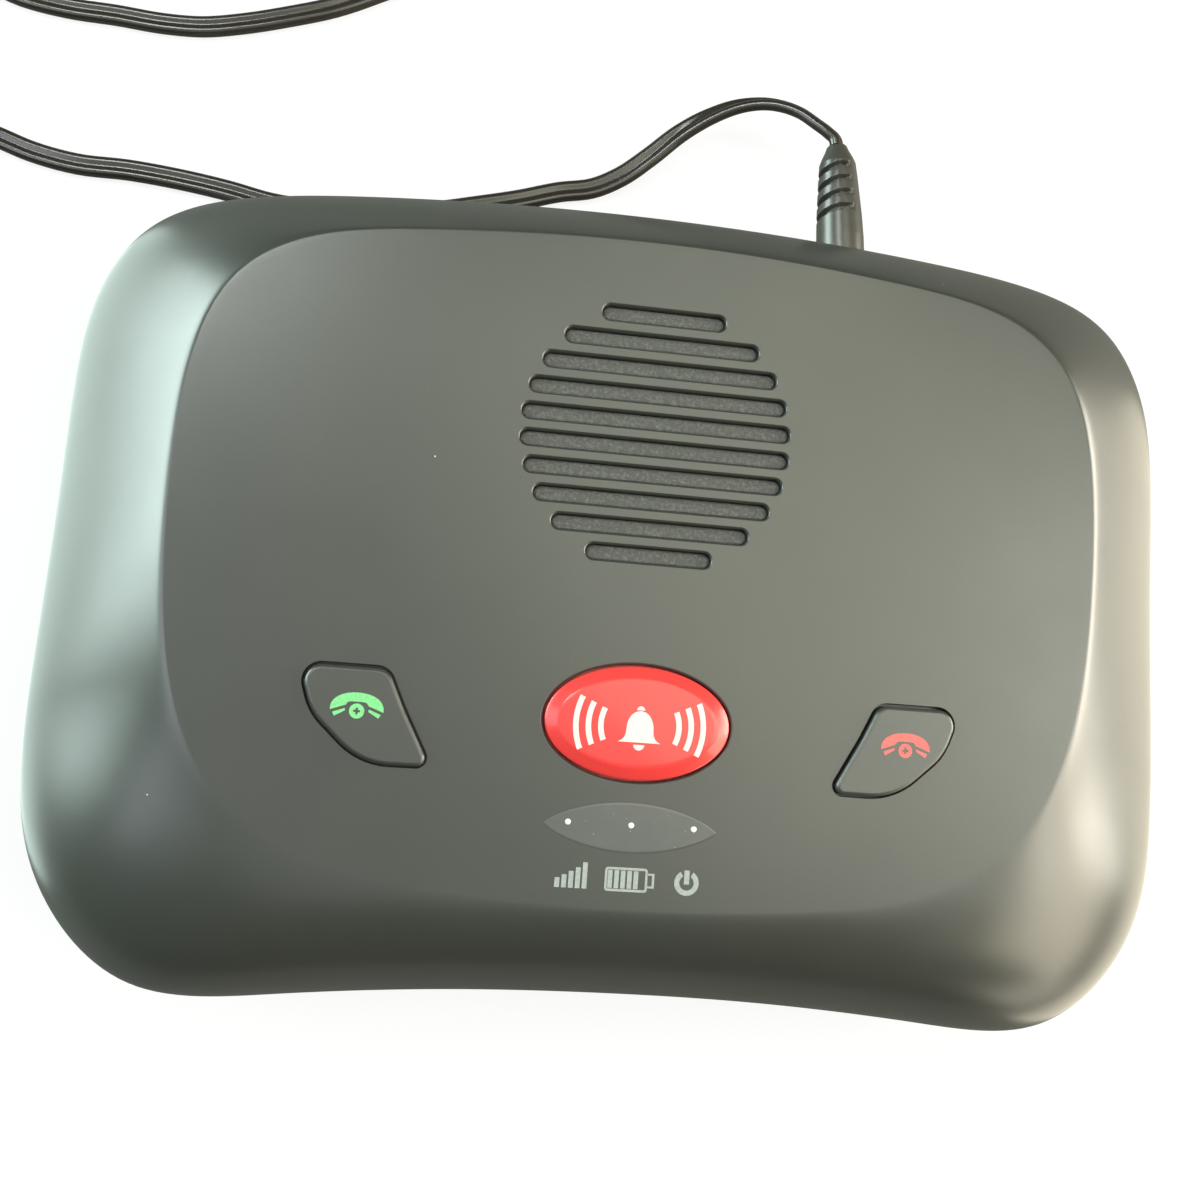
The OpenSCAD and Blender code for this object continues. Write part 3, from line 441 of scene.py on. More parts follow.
# Each finish: its maker, colour, roughness and what else the maker reads. On the pieces the camera
# sees, no roughness crosses 0.27, where the denoised reflections change in a visible step
finishes = {
    "housing": (moulded, (0.05, 0.054, 0.047), 0.31, {
        "grain": 0.22, "depth": 0.03, "strength": 0.25, "dust": (9, 0.16, 0.22), "glossSwing": 0.03,
        "sockets": {"Specular IOR Level": 1.0}}),
    "key_grey": (moulded, (0.06, 0.063, 0.056), 0.315, {
        "depth": 0.008, "strength": 0.2, "sockets": {"Specular IOR Level": 1.0}}),
    "key_red": (moulded, (0.92, 0.062, 0.058), 0.32, {
        "grain": 0.6, "depth": 0.006, "strength": 0.15, "mottle": 0.03, "fleck": 0.02,
        "sockets": {"Coat Weight": 0.45, "Coat Roughness": 0.14}}),
    "window": (resin, (0.092, 0.097, 0.094), 0.315, {
        "dust": (0.7, 0.1, 0.16), "sockets": {"Specular IOR Level": 1.0}}),
    # Pale finish of the small domes over the light pipes, which are painted glints
    "light_tip": (resin, (0.84, 0.86, 0.84), 0.2, {
        "sockets": {"Subsurface Weight": 0.3, "Subsurface Scale": 0.0005}}),
    "clear": (resin, (0.9, 0.92, 0.92), 0.12, {"sockets": {"Transmission Weight": 0.8, "IOR": 1.49}}),
    # Grille cloth: its pale dust is partly real dust and partly painted light that lifts the shade in the
    # slots
    "grille_cloth": (woven, (0.095, 0.098, 0.09), 0.75, {
        "pitch": 0.3, "dusty": 0.7, "dustAndPaintedLightColour": (0.26, 0.26, 0.24), "sockets": {"Sheen Weight": 0.2}}),
    "rubber_black": (rubber, (0.02, 0.02, 0.02), 0.75, {}),
    "steel": (metal, (0.55, 0.55, 0.54), 0.32, {}),
    "basket": (moulded, (0.03, 0.032, 0.035), 0.45, {"grain": 0.4, "sockets": {"Coat Weight": 0.2}}),
    "cone": (moulded, (0.02, 0.02, 0.02), 0.7, {"grain": 0.5, "depth": 0.05}),
    "board": (circuit, (0.01, 0.09, 0.03), 0.35, {}),
    "chip": (moulded, (0.018, 0.018, 0.018), 0.55, {"grain": 0.2}),
    "module_blue": (circuit, (0.02, 0.08, 0.25), 0.4, {}),
    "ivory": (moulded, (0.72, 0.68, 0.56), 0.45, {
        "grain": 0.4, "sockets": {"Subsurface Weight": 0.1, "Subsurface Scale": 0.001}}),
    "led_green": (resin, (0.3, 0.75, 0.35), 0.15, {"sockets": {"Transmission Weight": 0.5}}),
    "led_amber": (resin, (0.9, 0.55, 0.15), 0.15, {"sockets": {"Transmission Weight": 0.5}}),
    "brass": (metal, (0.78, 0.58, 0.25), 0.28, {}),
    "battery_wrap": (moulded, (0.012, 0.07, 0.3), 0.25, {
        "grain": 1.5, "depth": 0.05, "sockets": {"Coat Weight": 0.4}}),
    "lead_red": (moulded, (0.3, 0.02, 0.015), 0.35, {"grain": 0.6}),
    "lead_grey": (moulded, (0.035, 0.035, 0.035), 0.35, {"grain": 0.6}),
    "grip": (moulded, (0.068, 0.066, 0.056), 0.32, {
        "grain": 0.3, "strength": 0.25, "mottle": 0.1, "sockets": {"Specular IOR Level": 0.9}}),
    "cord_black": (moulded, (0.03, 0.025, 0.02), 0.23, {
        "cloud": 9, "grain": 0.5, "depth": 0.012, "strength": 0.08, "mottle": 0.2,
        "sockets": {"Specular IOR Level": 1.0}}),
    "tie": (rubber, (0.02, 0.02, 0.02), 0.85, {}),
    "adapter": (moulded, (0.022, 0.022, 0.022), 0.5, {
        "grain": 0.3, "depth": 0.05, "strength": 0.6, "dust": (8, 0.12, 0.12)}),
    "nickel": (metal, (0.66, 0.64, 0.6), 0.18, {"drawn": (1, 1, 9)}),
    "inkGrey": (ink, (0.43, 0.47, 0.455), 0.45, {}),
    "inkWhite": (ink, (0.86, 0.84, 0.83), 0.45, {}),
    "inkGreen": (ink, (0.25, 0.78, 0.3), 0.45, {}),
    "inkRed": (ink, (0.82, 0.18, 0.165), 0.45, {}),
}

materials = {}
for name, (make, colour, roughness, look) in finishes.items():
    materials[name], *nodes = newMaterial(name, colour, roughness, look.get("sockets", ()))
    make(*nodes, {"colour": colour, "roughness": roughness, **look})
for part in frame["record"]["subparts"]:
    mesh = frame["nodes"][part["node"]].data
    mesh.materials.clear()
    mesh.materials.append(materials[part["material_slot"]])
print("materials ready:", len(materials))

# ---- power lead: a flat twin lead from the plug to a coil stowed behind the unit ----

lead = {
    "width": 3.9,
    "coreRadius": 1.0,
    "web": 0.35,
    "route": [
        [34.46, 89.9, 12.8], [34.15, 91.1, 12.8], [32.6, 92.6, 12.6], [30.5, 94.2, 12.1],
        [27.5, 96.4, 11.2], [22, 98.2, 9.6], [16.6, 98, 7.8], [11.3, 96.1, 6], [6, 92.8, 4.4],
        [0.8, 88.2, 3], [-4.6, 83.9, 1.9], [-9.6, 81.3, 1.3], [-16, 79.8, 1.1], [-23.5, 77.3, 1.1],
        [-31, 75.2, 1.1], [-40, 72.9, 1.1], [-50, 71.4, 1.1], [-60, 70.7, 1.1], [-69, 71, 1.1],
        [-77, 72.4, 1.1], [-86, 73.5, 1.1], [-95, 74.1, 1.1], [-104, 74.1, 1.1], [-112, 75.4, 1.1],
        [-119, 77.6, 1.1], [-127, 79.6, 1.1], [-135.5, 82.8, 1.1], [-142, 88.5, 1.1],
        [-144, 96, 1.1], [-141, 103.2, 1.1], [-134, 107.3, 1.1], [-125.5, 107.4, 1.1],
        [-117, 104.6, 1.1], [-109, 103.5, 1.1], [-100, 103.3, 1.1], [-91.5, 102.9, 1.1],
        [-84.5, 103.3, 1.1], [-77.5, 104.9, 1.1], [-69, 107.6, 1.1], [-61, 110.6, 1.1],
        [-53, 114.8, 1.1], [-45.2, 119.5, 1.1], [-37.8, 124.6, 1.2], [-30.8, 130.2, 1.3],
        [-24.2, 136.2, 1.4], [-17.8, 142.6, 1.5], [-11.6, 149.4, 1.6], [-6, 156.6, 1.6]],
    "straight": 5.0,
    "coilCentre": (-18.0, 187.0),
    "coilOut": 26.9,
    "layers": 4,
    "turns": 2,
    "pitch": 4.9,
    "rise": 2.8,
    "floor": 1.6,
    "climb": 35.0,
    "start": -35.0,
    "end": -90.0,
    "tail": 24.0,
    "adapterHeight": 13.0,
    "roll": 54.0,
    "rollFrom": 12.0,
    "rollOver": 36.0,
}


def coilPath(lead, stepsPerTurn=48):
    # The radius runs in and out again at a steady rate, one layer per run, and the height climbs
    # one layer in the half turn where the spiral turns back
    whole = lead["layers"] * lead["turns"] * 360 + lead["end"] - lead["start"]
    a = np.linspace(0, whole, math.ceil(whole / 360 * stepsPerTurn) + 1)
    run = a / 360 / lead["turns"]
    fold = 1 - np.abs(run % 2 - 1)
    radius = lead["coilOut"] - lead["pitch"] * lead["turns"] * fold
    change = np.floor(run + 0.5)
    climbing = smoothStep(((run - change) * lead["turns"] * 360 + lead["climb"]) / lead["climb"] / 2)
    inside = (change > 0) & (change < lead["layers"])
    height = lead["floor"] + lead["rise"] * np.where(inside, change - 1 + climbing, np.floor(run))
    turn = np.radians(lead["start"] + a)
    return np.column_stack([lead["coilCentre"][0] + radius * np.cos(turn),
                            lead["coilCentre"][1] + radius * np.sin(turn), height])


def leadPath(lead):
    coil = coilPath(lead)
    way = np.array([-math.sin(math.radians(lead["start"])), math.cos(math.radians(lead["start"])), 0])
    joint = coil[0] - lead["straight"] * way
    x = np.array([0.25, 0.5, 0.75, 1])[:, None]
    last = coil[-1]
    tail = last + np.hstack([lead["tail"] * x, 0 * x,
                             (lead["adapterHeight"] - last[2]) * smoothStep(x / 0.75)])
    loose = smoothLine(np.vstack([lead["route"], joint - lead["straight"] * way, joint, coil[:1]]), 5)
    return np.vstack([loose, coil[1:-1], smoothLine(np.vstack([last, tail]), 4)])


def twinSection(lead, count=28):
    # Two round cores side by side: the half height is a circle about each core's centre, lifted
    # in the middle by the web between them
    a = -2 * np.pi * (np.arange(count) + 0.5) / count
    x = lead["width"] / 2 * np.cos(a)
    core = lead["width"] / 2 - lead["coreRadius"]
    height = np.sqrt(np.maximum(0, lead["coreRadius"] ** 2 - (np.abs(x) - core) ** 2))
    height = np.hypot(height, lead["web"] * np.exp(-(x / 0.35) ** 2))
    return np.column_stack([x, np.sign(np.sin(a)) * height])


def sweep(path, section, roll):
    # Every section point is carried along the path, its width level and square to the way ahead,
    # then turned about the path by the roll
    ahead = np.gradient(path, axis=0)
    ahead /= np.linalg.norm(ahead, axis=1)[:, None]
    level = np.cross([0, 0, 1], ahead)
    level /= np.linalg.norm(level, axis=1)[:, None]
    square = np.cross(ahead, level)
    c, s = np.cos(roll)[:, None], np.sin(roll)[:, None]
    side, up = level * c + square * s, square * c - level * s
    rings = (path[:, None] + side[:, None] * section[None, :, :1] + up[:, None] * section[None, :, 1:])
    return outward(loft(rings))


def makeLead(lead):
    # The lead leaves the plug standing nearly on edge and eases over to lie flat on the table
    path = leadPath(lead)
    run = runAlong(path)
    roll = np.radians(lead["roll"]) * (1 - smoothStep((run - lead["rollFrom"]) / lead["rollOver"]))
    piece = solid("powerLead", sweep(path, twinSection(lead), roll))
    return settle(piece, "cord_black", "unit", ("power_cord", "cord_coil"), 60), path


leadPiece, leadLine = makeLead(lead)
print("lead made, length in mm:", round(float(runAlong(leadLine)[-1])))

# ---- housing outlines ----

housing = {
    "panel": 40.0,
    "rim": 20.5,
    "seam": 18.0,
    "gap": 0.2,
    "wall": 2.2,
    "base": 2.0,
    "inset": 9.0,
    "softEdge": 0.035,
    "perSpan": 14,
    "rimHalf": [
        [0, 68], [26, 67.4], [50, 65.8], [71, 63.5], [86, 58], [94, 42.5], [94.2, 18.5], [95, -8],
        [96.3, -34], [92.5, -52], [76.5, -69.5], [53, -66.5], [26, -64.4], [0, -64]],
    "creaseHalf": [
        [0, 56.4], [20, 55.8], [38.5, 54.2], [56, 52], [68, 44], [72.3, 29.5], [73, 12],
        [72.4, -5.5], [69.5, -22.5], [61.5, -36.5], [46, -44.8], [32, -46.6], [16, -47.8], [0, -48.2]],
}


def closedSpline(half, perSpan):
    # Uniform cubic B-spline over the half outline and its mirror image, clockwise from the back
    half = np.array(half, float)
    control = np.vstack([half, half[-2:0:-1] * [-1, 1]])
    t = np.arange(perSpan) / perSpan
    weights = np.stack([(1 - t) ** 3, 3 * t**3 - 6 * t**2 + 4, 1 + 3 * t + 3 * t**2 - 3 * t**3, t**3], 1) / 6
    around = np.stack([np.roll(control, shift, 0) for shift in (1, 0, -1, -2)], 1)
    return np.einsum("sw,nwc->nsc", weights, around).reshape(-1, 2)


def drawnIn(outline, distance):
    return outline * (1 - distance / np.linalg.norm(outline, axis=1))[:, None]


def chamferShare(y):
    # Share of straight chamfer in the slope: most at the sides, less at the back, none in front
    return 0.05 + 0.75 * smoothStep((y + 46) / 30) - 0.2 * smoothStep((y - 34) / 20)


rimLine = closedSpline(housing["rimHalf"], housing["perSpan"])
creaseLine = closedSpline(housing["creaseHalf"], housing["perSpan"])


def slopeRing(v, inset=0.0, sink=0.0, soft=housing["softEdge"]):
    # From 0 at the panel's edge to 1 at the rim: the plan moves out as a sine, and the height
    # falls by a straight share, eased over the soft edge, and the rest of a quarter circle
    g, c = math.sin(math.pi / 2 * v), 1 - math.cos(math.pi / 2 * v)
    eased = (math.hypot(g, soft) - soft) / (math.hypot(1, soft) - soft)
    share = chamferShare(creaseLine[:, 1])
    plan = drawnIn(creaseLine + (rimLine - creaseLine) * g, inset)
    fall = (housing["panel"] - housing["rim"]) * (share * eased + (1 - share) * c)
    return atHeight(plan, housing["panel"] - sink - fall)


def baseRing(w, inset, low, high):
    # From 0 at the seam to 1 at the base: a quarter ellipse inwards and down
    plan = drawnIn(rimLine, 0.3 + inset + housing["inset"] * (1 - math.cos(math.pi / 2 * w)))
    return atHeight(plan, high - (high - low) * math.sin(math.pi / 2 * w))


# ---- top cover ----

under = housing["panel"] - housing["wall"]
grille = {"y": 25.2, "diameter": 43.0, "slots": 10, "pitch": 4.24, "width": 2.5, "fillet": 0.42}
helpKey = {
    "centre": (0.0, -19.9), "width": 28.6, "depth": 17.3, "low": 40.2, "shoulder": 41.2,
    "high": 41.6, "edge": 1.9, "bevel": 0.75, "gap": 0.35, "fillet": 0.45, "flange": 1.3, "stem": 2.2,
}
callKey = {
    "corners": [(51.5, -14.45, 2.6), (49.1, -21.6, 9.5), (41.3, -28.75, 11), (30.9, -28.65, 1.3),
                (35.6, -20, 22), (38.2, -14.45, 2.6)],
    "centre": (41.5, -21.5), "low": 40.0, "high": 40.7, "edge": 0.65, "gap": 0.35,
    "fillet": 0.15, "flange": 1.1, "stem": 2.0, "shift": (-0.1, 0.08),
}
lens = {
    "centre": (0.0, -35.8), "width": 26.6, "depth": 7.5, "top": 40.05, "bottom": 38.85, "pitch": 9.7,
    "pipeRadius": 1.15, "edge": [(-0.35, 0), (-0.15, 0.012), (0.03, 0.045)],
}
pipes = [(i * lens["pitch"], lens["centre"][1]) for i in (-1, 0, 1)]
# Posts and the holes of their screws: between board and panel, round the seam, at the loudspeaker
board = {"top": 30.6, "posts": [(54, -3), (-54, -3), (54, -44), (-54, -44)], "radius": 3.0, "screw": 1.1}
case = {
    "posts": [(60, -51), (-60, -51), (79, 4), (-79, 4), (62, 50), (-62, 50)], "radius": 3.6, "top": 30.0,
    "screw": 1.5, "screwDepth": 7.8, "lowRadius": 4.4, "shank": 1.7, "headRadius": 3.2, "headTop": 8.0,
}
speaker = {
    "reach": 24.3, "angles": (90, 210, 330), "radius": 2.4, "low": 35.1, "screw": 0.95, "holeTop": 37.6,
}
speaker["posts"] = [(speaker["reach"] * math.cos(math.radians(a)),
                     grille["y"] + speaker["reach"] * math.sin(math.radians(a))) for a in speaker["angles"]]
helpOutline = ellipse(helpKey["width"], helpKey["depth"]) + helpKey["centre"]


def keyOutline(side):
    outline = roundedOutline(callKey["corners"], 4)
    return outline if side > 0 else (outline * [-1, 1])[::-1]


def lensOutline(grow, count=120):
    # Pointed oval: an ellipse whose depth falls faster towards its tips
    a = -2 * np.pi * np.arange(count) / count
    x = (lens["width"] / 2 + grow) * np.cos(a)
    y = (lens["depth"] / 2 + grow) * np.sign(np.sin(a)) * np.abs(np.sin(a)) ** 1.6
    return np.column_stack([x, y]) + lens["centre"]


def slotLines(grille):
    # The place of each slot along Y and half the length between the centres of its round ends
    steps = [(row - (grille["slots"] - 1) / 2) * grille["pitch"] for row in range(grille["slots"])]
    return [(grille["y"] + dy, math.sqrt((grille["diameter"] / 2) ** 2 - dy * dy) - grille["width"] / 2)
            for dy in steps]


def opening(outlineOf, fillet):
    # A rounded opening right through the panel
    return flared(outlineOf, under - 1, housing["panel"], fillet)


def keyOpening(outline, key):
    return opening(lambda grow: grown(outline, key["gap"] + grow), key["fillet"])


def makeTopCover():
    rim, seam, wall = housing["rim"], housing["seam"] + housing["gap"], housing["wall"]
    rings = [atHeight(drawnIn(creaseLine, 1.2), housing["panel"])]
    rings += [slopeRing(v) for v in (np.arange(41) / 40) ** 1.35]
    rings += [atHeight(rimLine, z) for z in (rim - 0.8, rim - 1.6, seam + 0.25)]
    rings += [atHeight(drawnIn(rimLine, inset), seam + up)
              for inset, up in ((0.08, 0.07), (0.3, 0), (wall, 0))]
    rings += [slopeRing(v, wall * (0.4 + 0.6 * v), wall * (1 - v), 0) for v in np.linspace(1, 0, 13)]
    cover = solid("topCover", loft(rings))
    carve(cover, joined(posts(board["posts"], board["radius"], board["top"] + 0.05, under + 1)
                        + posts(case["posts"], case["radius"], seam, case["top"])
                        + posts(speaker["posts"], speaker["radius"], speaker["low"], under + 1)), "UNION")
    carve(cover, joined(posts(board["posts"], board["screw"], board["top"] - 1, board["top"] + 5)
                        + posts(case["posts"], case["screw"], seam - 1, seam + case["screwDepth"])
                        + posts(speaker["posts"], speaker["screw"], speaker["low"] - 1.1, speaker["holeTop"])
                        + posts(pipes, lens["pipeRadius"], under - 1, under + 1.3)))
    cuts = [opening(lambda grow: stadium(2 * half, grille["width"] / 2 + grow) + [0, y], grille["fillet"])
            for y, half in slotLines(grille)]
    cuts.append(keyOpening(helpOutline, helpKey))
    cuts += [keyOpening(keyOutline(side) + callKey["shift"], callKey) for side in (-1, 1)]
    cuts.append(prism(lensOutline(0.05), lens["bottom"] - 0.05, housing["panel"] + 1))
    carve(cover, joined(cuts))
    return settle(cover, "housing", "unit", ("top_cover",), 32, True)


topCover = makeTopCover()
print("top cover made:", len(topCover.data.polygons), "faces")

# ---- cloth behind the grille, pressed up into the slots ----

cloth = {
    "low": 37.35, "high": 37.75, "radius": 21.8, "tilt": 0.24,
    "crown": [(0.12, 39.12), (0.5, 39.11), (0.85, 39.06), (1.05, 38.96), (1.15, 38.8), (1.18, 38.4),
              (1.18, 37.6)],
}


def makeCloth(cloth, grille):
    # A thin disc with one long pillow in every slot: rings of growing reach round the slot's line
    # that fall away to its sides, its top tilted down towards the back
    disc = post((0, grille["y"]), cloth["radius"], cloth["low"], cloth["high"], 96)
    piece = solid("grilleCloth", disc)
    pillows = []
    for y, half in slotLines(grille):
        rings = []
        for reach, z in cloth["crown"]:
            plan = stadium(2 * half, reach)
            rings.append(atHeight(plan + [0, y], z - cloth["tilt"] * plan[:, 1] * (z > 38)))
        pillows.append(loft(rings))
    carve(piece, joined(pillows), "UNION")
    return settle(piece, "grille_cloth", "unit", ("grille_cloth",), 50)


makeCloth(cloth, grille)

# ---- bottom cover ----

bottom = {
    "floor": 4.2, "feet": [(75, -44), (75, 42), (-75, -44), (-75, 42)], "footHole": 6.3,
    "bay": (0.0, -27.0), "baySize": (68.0, 39.4), "bayWall": 1.6, "doorSize": (76.5, 46.5),
    "doorThick": 1.5, "jack": (37.2, 12.8), "jackHole": 5.6, "switch": (15.0, 11.4),
    "switchSlot": (7.2, 3.2), "powerPosts": [(17, 46.5), (47, 46.5)], "powerRadius": 2.8,
    "screw": 1.1, "doorScrew": (0.0, -3.4), "doorPost": 3.0, "doorWasher": 4.65,
    "microphone": (0.0, 10.0), "portRadius": 0.75, "bootRadius": 4.3, "holder": (0.0, -56.9),
    "holderSize": (14, 3.4), "antenna": (-69.0, 1.0), "antennaSlot": (1.2, 48),
    "clips": [(-69, -20.5), (-69, 21.5)], "clipSize": (5, 3),
    "tongue": [(3.9, -3.5), (3.9, 2), (2.7, 2), (2.7, -0.1), (1.6, -0.1), (1.6, -3.5)],
}


def alongY(outline, x, z, start, length):
    # A prism laid along +Y from the start, its outline's Y becoming the height
    lay = Matrix.Translation((x, start, z)) @ Matrix.Rotation(math.radians(-90), 4, "X")
    return turned(prism(outline, 0, length), lay)


def makeBottomCover():
    seam, base, floor, wall = housing["seam"], housing["base"], bottom["floor"], housing["wall"]
    bay, doorTop = bottom["bay"], base + bottom["doorThick"]
    inner = [baseRing(w, wall, floor, seam) for w in np.linspace(1, 0, 11)]
    outer = [baseRing(w, 0, base, seam) for w in np.linspace(0, 1, 25)]
    cover = solid("bottomCover", loft(inner + outer))
    added = posts(case["posts"], case["lowRadius"], 3, seam)
    added += posts(bottom["powerPosts"], bottom["powerRadius"], 3, 5.5)
    added += [post(bottom["doorScrew"], bottom["doorPost"], 3, 9.5)]
    added += [block(bay, *(size + 2 * bottom["bayWall"] for size in bottom["baySize"]), 3, 3, 15)]
    added += [block(bottom["holder"], *bottom["holderSize"], 0.2, 3, 13.5)]
    added += [block(clip, *bottom["clipSize"], 0.2, 3, 13) for clip in bottom["clips"]]
    carve(cover, joined(added), "UNION")
    tongue = [atHeight(drawnIn(rimLine, inset), seam + up) for inset, up in bottom["tongue"]]
    carve(cover, loft(tongue, True), "UNION")
    cuts = posts(case["posts"], case["headRadius"], base - 1, case["headTop"])
    cuts += posts(bottom["feet"], bottom["footHole"], base - 1, base + 0.6)
    cuts += [block(bay, *bottom["doorSize"], 4, base - 1, doorTop)]
    carve(cover, joined(cuts))
    cuts = posts(case["posts"], case["shank"], base, 24)
    cuts += [block(bay, *bottom["baySize"], 1.6, base - 1, 16)]
    cuts += [post(bottom["doorScrew"], bottom["doorWasher"], base - 1, doorTop)]
    cuts += posts(bottom["powerPosts"], bottom["screw"], 3.2, 9)
    cuts += [alongY(circle(0, 0, bottom["jackHole"], 72), *bottom["jack"], 56, 20)]
    cuts += [alongY(roundedBox(*bottom["switchSlot"], 0.5), *bottom["switch"], 59, 12)]
    cuts += [alongY(circle(0, 0, bottom["portRadius"], 24), *bottom["microphone"], -70.9, 12)]
    cuts += [block(bottom["antenna"], *bottom["antennaSlot"], 0.1, floor, 24)]
    carve(cover, joined(cuts))
    boot = alongY(circle(0, 0, bottom["bootRadius"], 48), *bottom["microphone"], -59.4, 6.4)
    carve(cover, joined([boot, post(bottom["doorScrew"], bottom["screw"], base, 8)]))
    return settle(cover, "housing", "unit", ("bottom_cover",), 32, True)


bottomCover = makeBottomCover()
print("bottom cover made:", len(bottomCover.data.polygons), "faces")

# ---- keys ----

# Below the panel every key has a flange between these heights and a stem down to the last one
flangeTop, flangeBottom, stemBottom = under - 0.2, under - 1.6, 35.15


def helpHeight(points):
    # A low dome over the oval, highest in the middle
    local = (np.asarray(points, float) - helpKey["centre"]) / [helpKey["width"] / 2, helpKey["depth"] / 2]
    reach = np.linalg.norm(local, axis=1)
    return helpKey["shoulder"] + (helpKey["high"] - helpKey["shoulder"]) * (1 - reach**2)


def crownRings(outline, key, dome):
    # The outline is drawn in along its normals as the surface rises round a quarter circle, part
    # of which the bevel swaps for a straight slope
    rings = []
    bevel = key.get("bevel", 0)
    for a in np.radians(np.linspace(90, 0, 12)):
        share = 1 - math.cos(a)
        plan = grown(outline, -key["edge"] * share)
        top = dome(plan) if dome else key["high"]
        rise = bevel * share + (1 - bevel) * math.sin(a)
        rings.append(atHeight(plan, key["low"] + (top - key["low"]) * rise))
    return rings


def keyShape(outline, key, side=1, dome=None):
    # A domed key's middle is filled with rings that grow from its centre; below come the wall,
    # the flange and the stem
    centre = np.array(key["centre"]) * [side, 1]
    away = outline - centre
    edge, flange = grown(outline, -key["edge"]), grown(outline, key["flange"])
    stem = centre + away / np.linalg.norm(away, axis=1)[:, None] * key["stem"]
    shares = [0.004, *np.linspace(0, 1, 12, endpoint=False)[1:]] if dome else []
    middle = [centre + (edge - centre) * share for share in shares]
    below = [(outline, key["low"] - 1), (outline, flangeTop), (flange, flangeTop), (flange, flangeBottom),
             (stem, flangeBottom), (stem, stemBottom)]
    return loft([atHeight(plan, dome(plan)) for plan in middle] + crownRings(outline, key, dome)
                + [atHeight(plan, z) for plan, z in below])


settle(solid("helpButton", keyShape(helpOutline, helpKey, dome=helpHeight)),
       "key_red", "help_key", ("help_button",))
for node, side in (("answer", -1), ("end", 1)):
    settle(solid(node + "Button", keyShape(keyOutline(side), callKey, side)),
           "key_grey", node + "_key", (node + "_button",), 40, True)
print("keys made")

# ---- indicator window, with small pale domes over its light pipes that are painted glints ----

# Small pale domes standing out of the window over the light pipes: painted glints
paintedGlint = {"radius": 0.46, "rise": 0.12, "sunk": 0.02, "depth": 0.3, "shift": (0.1, 0.4)}


def makeLens():
    rings = [atHeight(lensOutline(grow), lens["top"] - drop) for grow, drop in lens["edge"]]
    rings.append(atHeight(lensOutline(lens["edge"][-1][0]), lens["bottom"]))
    return settle(solid("indicatorWindow", loft(rings)), "window", "unit", ("indicator_lens",), 50, True)


def makePaintedGlint(name, place):
    # A low pale dome, a painted glint over a light pipe: the radius falls as a cosine while the height rises
    # as a sine
    radius, foot = paintedGlint["radius"], lens["top"] - paintedGlint["sunk"]
    rings = [atHeight(circle(*place, radius * math.cos(a) + 0.002, 24),
                      foot + paintedGlint["rise"] * math.sin(a)) for a in np.linspace(math.pi / 2, 0, 7)]
    rings.append(atHeight(circle(*place, radius + 0.002, 24), lens["top"] - paintedGlint["depth"]))
    return settle(solid(name, loft(rings)), "light_tip", "unit", sharp=60)


makeLens()
for number, place in enumerate(pipes, 1):
    makePaintedGlint("paintedGlint" + str(number), np.add(place, paintedGlint["shift"]))

# ---- printed symbols: thin skins that follow the surface below ----


def strip(first, second, heightOf, steps=4, lift=0.04, sunk=0.03):
    # A skin between two lines of equal length: rows of points across, at the height of the
    # surface below plus the ink's thickness, and the same rows just under the surface
    first, second = np.asarray(first, float), np.asarray(second, float)
    t = np.linspace(0, 1, steps + 1)[None, :, None]
    plan = first[:, None] * (1 - t) + second[:, None] * t
    rows, columns = plan.shape[:2]
    flat = plan.reshape(-1, 2)
    high = atHeight(flat, heightOf(flat) + lift)
    low = atHeight(flat, heightOf(flat) - sunk)
    a = (np.arange(rows - 1)[:, None] * columns + np.arange(columns - 1)).ravel()
    top = np.stack([a, a + 1, a + columns + 1, a + columns], 1)
    count = rows * columns
    rim = np.concatenate([np.arange(columns - 1), np.arange(rows - 1) * columns + columns - 1,
                          count - 1 - np.arange(columns - 1), np.arange(rows - 1, 0, -1) * columns])
    walls = np.stack([np.roll(rim, -1), rim, rim + count, np.roll(rim, -1) + count], 1)
    quads = np.concatenate([top, top[:, ::-1] + count, walls])
    return outward({"points": np.concatenate([high, low]), "quads": quads, "caps": []})


def level(height):
    return lambda points: np.full(len(points), height)


def arc(centre, radius, start, stop, count=24):
    a = np.radians(np.linspace(start, stop, count))
    return np.array(centre) + np.column_stack([radius * np.cos(a), radius * np.sin(a)])


def band(centre, inner, outer, start, stop, heightOf, count=24):
    return strip(arc(centre, inner, start, stop, count), arc(centre, outer, start, stop, count), heightOf, 3)


def bar(x, y, width, height):
    # An upright bar that stands on (x, y) on the panel
    left, right = ([(side, y), (side, y + height)] for side in (x - width / 2, x + width / 2))
    return strip(left, right, onPanel, 1)


def makeSymbol(name, shapes, ink, body="unit"):
    return settle(solid(name, joined(shapes)), ink, body, sharp=50)


onPanel, onKey = level(housing["panel"]), level(callKey["high"])
signal = {
    "left": -10.62, "foot": -45.2, "step": 1.04, "width": 0.74, "heights": (1.45, 1.95, 2.5, 3.1, 3.9),
}
makeSymbol("signalSymbol", [
    bar(signal["left"] + i * signal["step"], signal["foot"], signal["width"], height)
    for i, height in enumerate(signal["heights"])], "inkGrey")

battery = {"left": -3.4, "right": 3.15, "low": -45.35, "high": -41.75, "line": 0.36, "cells": 5,
           "cellPitch": 0.99, "cellWidth": 0.7, "cap": 1.05}


